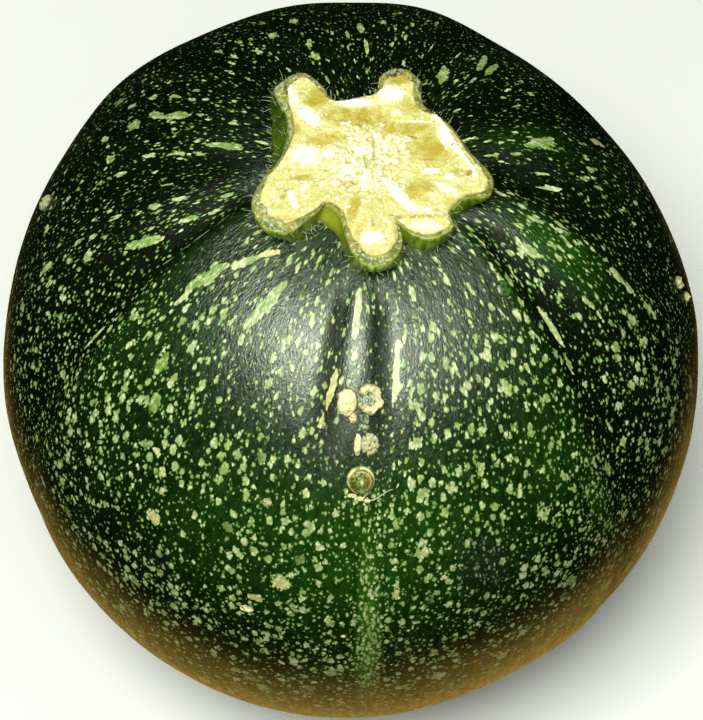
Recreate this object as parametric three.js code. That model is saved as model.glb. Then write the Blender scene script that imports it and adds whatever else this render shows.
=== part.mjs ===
// Round zucchini: a ribbed green globe standing on its flattened blossom end, with the
// short stub of its cut stem on the crown. Millimetres, +Z up. The globe's axis is Z,
// the underside lies in the plane z = 0 and the narrow front rib points to -Y.
import * as THREE from 'three';

// Globe
const globeRadius = 59;
const globeHeight = 114;
const waistHeight = 56;
const shoulderFullness = 2.15; // superellipse exponent above the waist; 2 is a true ellipse
const baseFullness = 2.25; // the same below the waist
const crownDip = 2; // how far the crown sinks under the stem
const crownDipRadius = 17;
const footTrim = 0.9; // what the flat foot takes off the underside
const lean = -1.4; // how far the waist stands off the stem's axis, along X

// Stem stub
const cutHeight = 115.8;
const rimBevel = 1.0; // width and depth of the blunt edge round the cut
const wallBulge = 0.8; // how far the wall swells beyond the edge
const baseRadius = 15.5; // the root's mean radius, which the notches flow out to
const notchFill = 0.4; // 0 keeps the star's notches at the root, 1 makes the root round
const stemGap = 0.3; // clearance between the stub and the crown

// Mesh density
const globeSides = 72;
const globeRings = 34;
const stemSides = 108;

// Azimuths are in degrees, seen from above: 0 faces -Y and 90 faces +X.
// A furrow starts at one azimuth beside the stem and drifts to another on the flank.
const furrows = [
  { atStem: -9, onFlank: -8, depth: 0.5, spread: 4 },
  { atStem: 6, onFlank: 3, depth: 0.5, spread: 4 },
  { atStem: 61, onFlank: 46, depth: 1.3, spread: 9 },
  { atStem: 96, onFlank: 80, depth: 1.3, spread: 9 },
  { atStem: 132, onFlank: 121, depth: 1.1, spread: 10 },
  { atStem: 160, onFlank: 154, depth: 0.8, spread: 9 },
  { atStem: -178, onFlank: -178, depth: 0.6, spread: 9 },
  { atStem: -142, onFlank: -139, depth: 0.9, spread: 10 },
  { atStem: -98, onFlank: -96, depth: 0.7, spread: 9 },
  { atStem: -71, onFlank: -61, depth: 1.5, spread: 9 },
];

// Broad swells and hollows that keep the globe from being a perfect solid of revolution.
// down is the angle from the crown's pole; the spreads are in degrees, the rise in mm.
const swells = [
  { azimuth: 110, down: 84, rise: -4.2, around: 25, along: 60 },
  { azimuth: 142, down: 68, rise: -3.9, around: 17, along: 50 },
  { azimuth: -136, down: 64, rise: 2.3, around: 13, along: 40 },
  { azimuth: -165, down: 62, rise: 0.6, around: 20, along: 40 },
  { azimuth: 30, down: 115, rise: -2.0, around: 26, along: 50 },
  { azimuth: 66, down: 100, rise: -1.4, around: 18, along: 50 },
];

// The cut stem's outline from above, anticlockwise from the right-hand side: six blunt lobes
// with five notches and one nearly straight side between them.
const cutOutline = [
  [15.2, 2.2], [11.5, 7.9], [8.0, 10.9], [7.5, 15.4], [4.7, 17.5], [1.8, 16.1],
  [1.0, 12.9], [-1.6, 12.1], [-5.1, 11.5], [-7.3, 14.5], [-9.9, 16.4], [-13.6, 13.5],
  [-12.6, 10.3], [-11.2, 6.1], [-12.9, 0.8], [-15.2, -2.6], [-16.6, -6.9], [-14.9, -10.5],
  [-11.5, -11.7], [-7.7, -8.8], [-5.9, -6.8], [-4.0, -8.2], [-3.1, -11.9], [-1.8, -15.3],
  [1.0, -17.2], [3.7, -16.1], [5.0, -12.7], [4.4, -9.7], [6.3, -11.5], [9.5, -12.3],
  [12.3, -10.3], [11.9, -8.1], [13.8, -5.6], [17.4, -4.8], [18.2, -2.2],
];

const toRadians = THREE.MathUtils.degToRad;
const smoothstep = THREE.MathUtils.smoothstep;

// Shortest way round from one azimuth to another, from -180 to 180 degrees.
function turnBetween(azimuth, reference) {
  return THREE.MathUtils.euclideanModulo(azimuth - reference + 180, 360) - 180;
}

function bell(offset, spread) {
  return Math.exp(-((offset / spread) ** 2));
}

// How deep the furrows cut at a point. They start outside the stem, are deepest on the
// shoulder and are gone before the foot.
function furrowDepth(azimuth, down) {
  const fade = smoothstep(down, 12, 22) * (1 - 0.7 * smoothstep(down, 25, 95))
    * (1 - smoothstep(down, 120, 165));
  const drift = Math.min(1, Math.exp((18 - down) / 22));
  let depth = 0;
  for (const furrow of furrows) {
    const centre = THREE.MathUtils.lerp(furrow.onFlank, furrow.atStem, drift);
    depth += furrow.depth * fade * bell(turnBetween(azimuth, centre), furrow.spread);
  }
  return depth;
}

function swellHeight(azimuth, down) {
  const awayFromPoles = Math.sin(toRadians(down)) ** 2;
  let height = 0;
  for (const swell of swells) {
    height += swell.rise * awayFromPoles * bell(turnBetween(azimuth, swell.azimuth), swell.around)
      * bell(down - swell.down, swell.along);
  }
  return height;
}

function crownHeight(radius) {
  const cosine = Math.sqrt(1 - (radius / globeRadius) ** shoulderFullness);
  return waistHeight + (globeHeight - waistHeight) * cosine ** (2 / shoulderFullness)
    - crownDip * bell(radius, crownDipRadius);
}

function skinPoint(azimuth, down) {
  const turn = toRadians(azimuth);
  const sine = Math.sin(toRadians(down));
  const cosine = Math.cos(toRadians(down));
  const fullness = cosine >= 0 ? shoulderFullness : baseFullness;
  const radius = globeRadius * sine ** (2 / fullness);
  const height = cosine >= 0
    ? crownHeight(radius)
    : waistHeight - (waistHeight + footTrim) * (-cosine) ** (2 / fullness);
  const out = swellHeight(azimuth, down) - furrowDepth(azimuth, down);
  const reach = radius + out * sine;
  return new THREE.Vector3(
    reach * Math.sin(turn) + lean * (radius / globeRadius) ** 2,
    -reach * Math.cos(turn),
    Math.max(0, height + out * cosine),
  );
}

// Closes a stack of equal rings with a point at each end. The rings run anticlockwise seen
// from above, from the top down, so that the faces point outwards.
function closedStack(topPoint, rings, bottomPoint) {
  const sides = rings[0].length;
  const points = [topPoint, ...rings.flat(), bottomPoint];
  const last = points.length - 1;
  const faces = [];
  for (let side = 0; side < sides; side += 1) {
    const next = (side + 1) % sides;
    faces.push(0, 1 + side, 1 + next);
    for (let ring = 0; ring + 1 < rings.length; ring += 1) {
      const upper = 1 + ring * sides;
      const lower = upper + sides;
      faces.push(upper + side, lower + side, lower + next);
      faces.push(upper + side, lower + next, upper + next);
    }
    const bottomRing = last - sides;
    faces.push(last, bottomRing + next, bottomRing + side);
  }
  const geometry = new THREE.BufferGeometry();
  const positions = points.flatMap((point) => point.toArray());
  geometry.setAttribute('position', new THREE.Float32BufferAttribute(positions, 3));
  geometry.setIndex(faces);
  geometry.computeVertexNormals();
  return geometry;
}

function makeFruitBody() {
  const footCosine = (waistHeight / (waistHeight + footTrim)) ** (baseFullness / 2);
  const footDown = 180 - THREE.MathUtils.radToDeg(Math.acos(footCosine));
  const rings = [];
  for (let ring = 1; ring <= globeRings; ring += 1) {
    const down = (footDown * ring) / globeRings;
    const points = [];
    for (let side = 0; side < globeSides; side += 1) {
      points.push(skinPoint((360 * side) / globeSides, down));
    }
    rings.push(points);
  }
  for (const point of rings[globeRings - 1]) point.z = 0;
  const crown = new THREE.Vector3(0, 0, crownHeight(0));
  const geometry = closedStack(crown, rings, new THREE.Vector3(0, 0, 0));
  const darkGreenSkin = new THREE.MeshStandardMaterial({ color: 0x1d3a1b, roughness: 0.35 });
  const mesh = new THREE.Mesh(geometry, darkGreenSkin);
  mesh.name = 'fruit_body';
  return mesh;
}

// One level of the stub: the outline drawn towards its centre, pushed out or in by an
// amount, with its notches partly filled, at a height given by a function of the radius.
function stemRing(outline, { scale = 1, push = 0, fill = 0, heightAt }) {
  return outline.map((point) => {
    const angle = Math.atan2(point.y, point.x);
    const full = THREE.MathUtils.lerp(point.length(), baseRadius, fill);
    const radius = full * scale + push;
    return new THREE.Vector3(
      radius * Math.cos(angle),
      radius * Math.sin(angle),
      heightAt(radius),
    );
  });
}

function makeStemStub() {
  const corners = cutOutline.map(([x, y]) => new THREE.Vector3(x, y, 0));
  const curve = new THREE.CatmullRomCurve3(corners, true, 'centripetal');
  const outline = curve.getSpacedPoints(stemSides).slice(0, stemSides);
  const onCrown = (radius) => crownHeight(radius) + stemGap;
  const rings = [
    stemRing(outline, { scale: 0.45, heightAt: () => cutHeight }),
    stemRing(outline, { push: -rimBevel, heightAt: () => cutHeight }),
    stemRing(outline, { heightAt: () => cutHeight - rimBevel }),
    stemRing(outline, { push: wallBulge, fill: notchFill / 2, heightAt: () => cutHeight - 2.4 }),
    stemRing(outline, { fill: notchFill, heightAt: onCrown }),
    stemRing(outline, { fill: notchFill, scale: 0.45, heightAt: onCrown }),
  ];
  const cutCentre = new THREE.Vector3(0, 0, cutHeight);
  const rootCentre = new THREE.Vector3(0, 0, onCrown(0));
  const geometry = closedStack(cutCentre, rings, rootCentre);
  const paleCutFlesh = new THREE.MeshStandardMaterial({ color: 0xb4b45a, roughness: 0.7 });
  const mesh = new THREE.Mesh(geometry, paleCutFlesh);
  mesh.name = 'stem_stub';
  return mesh;
}

const roundZucchini = new THREE.Group();
roundZucchini.add(makeFruitBody(), makeStemStub());

export default roundZucchini;
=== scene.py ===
import bpy
import math
import numpy as np
from functools import partial
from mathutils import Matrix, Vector, noise
from mathutils.bvhtree import BVHTree


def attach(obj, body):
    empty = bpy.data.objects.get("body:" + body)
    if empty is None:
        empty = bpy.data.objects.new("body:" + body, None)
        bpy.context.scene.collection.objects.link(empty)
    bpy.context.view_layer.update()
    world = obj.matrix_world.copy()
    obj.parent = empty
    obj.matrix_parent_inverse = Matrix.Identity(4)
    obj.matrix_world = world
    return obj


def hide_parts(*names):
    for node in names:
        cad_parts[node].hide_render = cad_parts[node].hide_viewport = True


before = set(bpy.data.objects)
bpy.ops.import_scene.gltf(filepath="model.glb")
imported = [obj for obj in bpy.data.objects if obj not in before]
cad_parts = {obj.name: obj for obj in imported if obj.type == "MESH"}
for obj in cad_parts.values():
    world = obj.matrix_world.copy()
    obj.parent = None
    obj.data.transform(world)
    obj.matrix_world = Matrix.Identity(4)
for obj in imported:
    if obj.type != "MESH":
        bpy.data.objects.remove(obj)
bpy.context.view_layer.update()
mm = 0.001  # everything below is thought out in millimetres and built in metres


def linearColor(hexText):
    channels = [int(hexText[start:start + 2], 16) / 255 for start in (1, 3, 5)]
    linear = [c / 12.92 if c <= 0.04045 else ((c + 0.055) / 1.055) ** 2.4 for c in channels]
    return (*linear, 1.0)


# adds a node by its kind and mode, such as "Math MULTIPLY". Its open inputs come next in their
# order, and then by name other inputs, or settings of the node itself. Another node, or one of
# its outputs, is linked, and anything else is set
def addNode(tree, kind, *inputs, **named):
    kind, _, mode = kind.partition(" ")
    node = tree.nodes.new(kind if "Node" in kind else "ShaderNode" + kind)
    if mode:
        modeNames = {"MapRange": "interpolation_type", "Math": "operation", "VectorMath": "operation"}
        setattr(node, modeNames.get(kind, "data_type"), mode)
    openInputs = [socket for socket in node.inputs if socket.enabled]
    for place, value in [*zip(openInputs, inputs), *named.items()]:
        if isinstance(place, str) and hasattr(node, place):
            setattr(node, place, value)
            continue
        socket = node.inputs[place] if isinstance(place, str) else place
        if isinstance(value, bpy.types.Node):
            value = next(output for output in value.outputs if output.enabled)
        if isinstance(value, bpy.types.NodeSocket):
            tree.links.new(value, socket)
        else:
            isHex = isinstance(value, str) and value.startswith("#")
            socket.default_value = linearColor(value) if isHex else value
    return node


# a material, what adds its nodes, and the vectors stored on the mesh that it reads
def startMaterial(name, *vectors):
    material = bpy.data.materials.new(name)
    material.use_nodes = True
    material.node_tree.nodes.clear()
    add = partial(addNode, material.node_tree)
    stored = [add("Attribute", attribute_name=vector).outputs["Vector"] for vector in vectors]
    return material, add, *stored


def finishMaterial(material, add, color, settings):
    add("OutputMaterial", add("BsdfPrincipled", color, **settings))
    return material


def startTree(name, inputs, outputs):
    tree = bpy.data.node_groups.new(name, "GeometryNodeTree")
    for side, sockets in (("INPUT", inputs), ("OUTPUT", outputs)):
        for label, kind in sockets.items():
            tree.interface.new_socket(label, in_out=side, socket_type="NodeSocket" + kind)
    add = partial(addNode, tree)
    return tree, add, add("NodeGroupInput").outputs


# runs a tree on an object once and leaves a plain mesh behind
def growWithNodes(source, tree, values, name):
    modifier = source.modifiers.new(tree.name, "NODES")
    modifier.node_group = tree
    for item in tree.interface.items_tree:
        if item.item_type == "SOCKET" and item.in_out == "INPUT" and item.name in values:
            modifier[item.identifier] = values[item.name]
    graph = bpy.context.evaluated_depsgraph_get()
    grown = bpy.data.meshes.new_from_object(source.evaluated_get(graph), depsgraph=graph)
    source.modifiers.remove(modifier)
    bpy.data.objects.remove(source)
    grown.name = name
    piece = bpy.data.objects.new(name, grown)
    bpy.context.collection.objects.link(piece)
    return piece


def makeObject(name, points, faces, material=None, smooth=True):
    mesh = bpy.data.meshes.new(name)
    mesh.from_pydata(points, [], faces)
    mesh.validate()
    if smooth:
        mesh.shade_smooth()
    if material:
        mesh.materials.append(material)
    piece = bpy.data.objects.new(name, mesh)
    bpy.context.collection.objects.link(piece)
    return piece


# faces between a ring of corners, which begins at start, and the next ring
def bandFaces(start, sides):
    side = np.arange(sides)
    following = (side + 1) % sides
    return (start + np.stack([side, side + sides, following + sides, following], -1)).tolist()


# faces over rings of corners that lie between the first corner and the last
def closedFaces(rings, sides, flipped=False):
    last = 1 + rings * sides
    faces = [(0, 1 + side, 1 + (side + 1) % sides) for side in range(sides)]
    for ring in range(rings - 1):
        faces += bandFaces(1 + ring * sides, sides)
    faces += [(last, last - sides + (side + 1) % sides, last - sides + side) for side in range(sides)]
    return [(face[0], *face[:0:-1]) for face in faces] if flipped else faces


# how far out and at what angle each corner of a round patch is, its middle first
def roundGrid(rings, sides):
    share = np.concatenate([[0], np.repeat((np.arange(rings) + 1) / rings, sides)])
    turn = np.concatenate([[0], np.tile(np.arange(sides) * 2 * math.pi / sides, rings)])
    return share, turn


def storeValues(piece, name, values):
    values = np.asarray(values, dtype=np.float32)
    kind, field = ("FLOAT_VECTOR", "vector") if values.ndim == 2 else ("FLOAT", "value")
    piece.data.attributes.new(name, kind, "POINT").data.foreach_set(field, values.ravel())


def smoothstep(low, high, value):
    t = np.clip((value - low) / (high - low), 0, 1)
    return t * t * (3 - 2 * t)


def bellCurve(offset, spread):
    return np.exp(-(offset / spread) ** 2)


# shortest way round from one azimuth to another, -180 to 180 degrees
def turnBetween(azimuth, reference):
    return (azimuth - reference + 180) % 360 - 180


# sizes and swells repeat the CAD part's, and the ribs nearly do, so the skin lies on its solid
fruit = {
    "globeRadius": 59.0,
    "globeHeight": 114.0,
    "waistHeight": 56.0,
    "shoulderFullness": 2.15,  # superellipse exponent above the waist, 2 is an ellipse
    "baseFullness": 2.25,
    "crownDip": 2.0,
    "crownDipRadius": 17.0,
    "footTrim": 0.9,
    "footHollow": 1.5,  # over the ground, in the middle
    "lean": -1.4,
    "sides": 440,
    "fineArc": 100.0,  # the skin is meshed finer down to here, measured along it from the crown
    "fineRings": 150,
    "coarseRings": 70,
    "wrinkleHeight": 0.07,
    "wrinkleWidth": 1.6,
    "unevenHeight": 0.22,
    "unevenWidth": 13.0,
}

# furrows keep their azimuth by the stem down to one angle from the crown, and then drift
swing = {"starts": 18.0, "eases": 22.0}

# azimuths are degrees seen from above: 0 faces the front, 90 the right-hand side. The two deep
# furrows are steep on the front lobe's side and open out gently on the far side
furrows = [
    {"atStem": -9, "onFlank": -8, "depth": 0.6, "spread": 3.4, "until": 52},
    {"atStem": 6, "onFlank": 3, "depth": 0.6, "spread": 3.4, "until": 52},
    {"atStem": 62, "onFlank": 47.5, "depth": 1.3, "spread": 3.8, "farSpread": 7.5, "farSide": 1},
    {"atStem": 96, "onFlank": 80, "depth": 1.3, "spread": 7.5},
    {"atStem": 132, "onFlank": 121, "depth": 1.1, "spread": 10},
    {"atStem": 160, "onFlank": 154, "depth": 0.8, "spread": 9},
    {"atStem": -178, "onFlank": -178, "depth": 0.6, "spread": 9},
    {"atStem": -142, "onFlank": -139, "depth": 0.9, "spread": 10},
    {"atStem": -98, "onFlank": -96, "depth": 0.7, "spread": 9},
    {"atStem": -77.5, "onFlank": -63, "depth": 1.5, "spread": 3.8, "farSpread": 9.5, "farSide": -1},
]

swells = [
    {"azimuth": 110, "down": 84, "rise": -4.2, "around": 25, "along": 60},
    {"azimuth": 142, "down": 68, "rise": -3.9, "around": 17, "along": 50},
    {"azimuth": -136, "down": 64, "rise": 2.3, "around": 13, "along": 40},
    {"azimuth": -165, "down": 62, "rise": 0.6, "around": 20, "along": 40},
    {"azimuth": 30, "down": 115, "rise": -2.0, "around": 26, "along": 50},
    {"azimuth": 66, "down": 100, "rise": -1.4, "around": 18, "along": 50},
]


# 1 where a furrow is still at its azimuth by the stem, nearly 0 where it is at the flank's
def driftAt(down):
    return np.minimum(1, np.exp((swing["starts"] - down) / swing["eases"]))


def globeProfile(down):
    angle = np.radians(down)
    upper = down <= 90
    fullness = np.where(upper, fruit["shoulderFullness"], fruit["baseFullness"])
    rise = np.abs(np.cos(angle)) ** (2 / fullness)
    reach = fruit["globeRadius"] * np.abs(np.sin(angle)) ** (2 / fullness)
    waist = fruit["waistHeight"]
    dip = fruit["crownDip"] * bellCurve(reach, fruit["crownDipRadius"])
    crown = waist + (fruit["globeHeight"] - waist) * rise - dip
    foot = waist - (waist + fruit["footTrim"]) * rise
    return reach, np.where(upper, crown, foot)


# distance along the skin from the crown's middle, for each angle down from it
sweepDown = np.linspace(0, 180, 3601)
sweepReach, sweepHeight = globeProfile(sweepDown)
sweepSteps = np.hypot(np.diff(sweepReach), np.diff(sweepHeight))
sweepArc = np.concatenate([[0], np.cumsum(sweepSteps)])


def downAt(arc):
    return np.interp(arc, sweepArc, sweepDown)


def reachAt(arc):
    return np.interp(arc, sweepArc, sweepReach)


# every corner of the skin's mesh as azimuth and arc: the crown, the rings, the foot's middle
def makeSkinGrid():
    fine = np.linspace(0, fruit["fineArc"], fruit["fineRings"] + 1)[1:]
    coarse = np.linspace(fruit["fineArc"], sweepArc[-1], fruit["coarseRings"] + 1)[1:-1]
    ringArcs = np.concatenate([fine, coarse])
    azimuths = np.arange(fruit["sides"]) * 360 / fruit["sides"] - 180
    arc = np.concatenate([[0], np.repeat(ringArcs, fruit["sides"]), [sweepArc[-1]]])
    azimuth = np.concatenate([[0], np.tile(azimuths, len(ringArcs)), [0]])
    down = downAt(arc)
    reach, height = globeProfile(down)
    return {"arc": arc, "azimuth": azimuth, "down": down, "reach": reach, "height": height,
            "rings": len(ringArcs)}


def outwardAt(azimuth, down):
    turn, tilt = np.radians(azimuth), np.radians(down)
    return np.stack([np.sin(tilt) * np.sin(turn), -np.sin(tilt) * np.cos(turn), np.cos(tilt)], -1)


def globePoint(azimuth, reach, height):
    turn = np.radians(azimuth)
    lean = fruit["lean"] * (reach / fruit["globeRadius"]) ** 2
    return np.stack([reach * np.sin(turn) + lean, -reach * np.cos(turn), height], -1) * mm


# the colour pattern's own space in mm: flecks keep their size on the flank, and are
# squeezed sideways and drawn out lengthways towards the stem, as the young fruit grew
patternSpace = {
    "stemRadius": 26.0,
    "stretchFrom": 15.0,
    "stretchTo": 75.0,
    "lengthways": 0.74,
    "speedAt": [0, 15, 25, 40, 60, 200],
    "speed": [0.62, 0.68, 0.78, 0.9, 1.0, 1.0],
}


def patternPoint(azimuth, arc, down):
    space = patternSpace
    near = 1 - smoothstep(space["stretchFrom"], space["stretchTo"], sweepArc)
    around = np.sqrt(sweepReach ** 2 + space["stemRadius"] ** 2 * near)
    speed = np.interp(sweepArc, space["speedAt"], space["speed"]) * space["lengthways"]
    slope = np.gradient(around, sweepArc)
    climb = np.sqrt(np.maximum(speed ** 2 - slope ** 2, 0.02))
    along = np.concatenate([[0], np.cumsum(climb[1:] * np.diff(sweepArc))])
    steepness = np.hypot(slope, climb)
    # lanes of flecks bend with the furrows beside the stem
    stemSide = np.array([furrow["atStem"] for furrow in furrows], dtype=float)
    flankSide = np.array([furrow["onFlank"] for furrow in furrows], dtype=float)
    order = np.argsort(stemSide)
    shift = np.interp(azimuth, stemSide[order], (flankSide - stemSide)[order], period=360)
    turn = np.radians(azimuth + shift * driftAt(down))
    radius = np.interp(arc, sweepArc, around)
    sideways = np.interp(arc, sweepArc, climb / steepness)
    backward = np.interp(arc, sweepArc, -slope / steepness)
    place = np.stack([radius * np.sin(turn), -radius * np.cos(turn), np.interp(arc, sweepArc, along)], -1)
    facing = np.stack([sideways * np.sin(turn), -sideways * np.cos(turn), backward], -1)
    return place, facing


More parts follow.
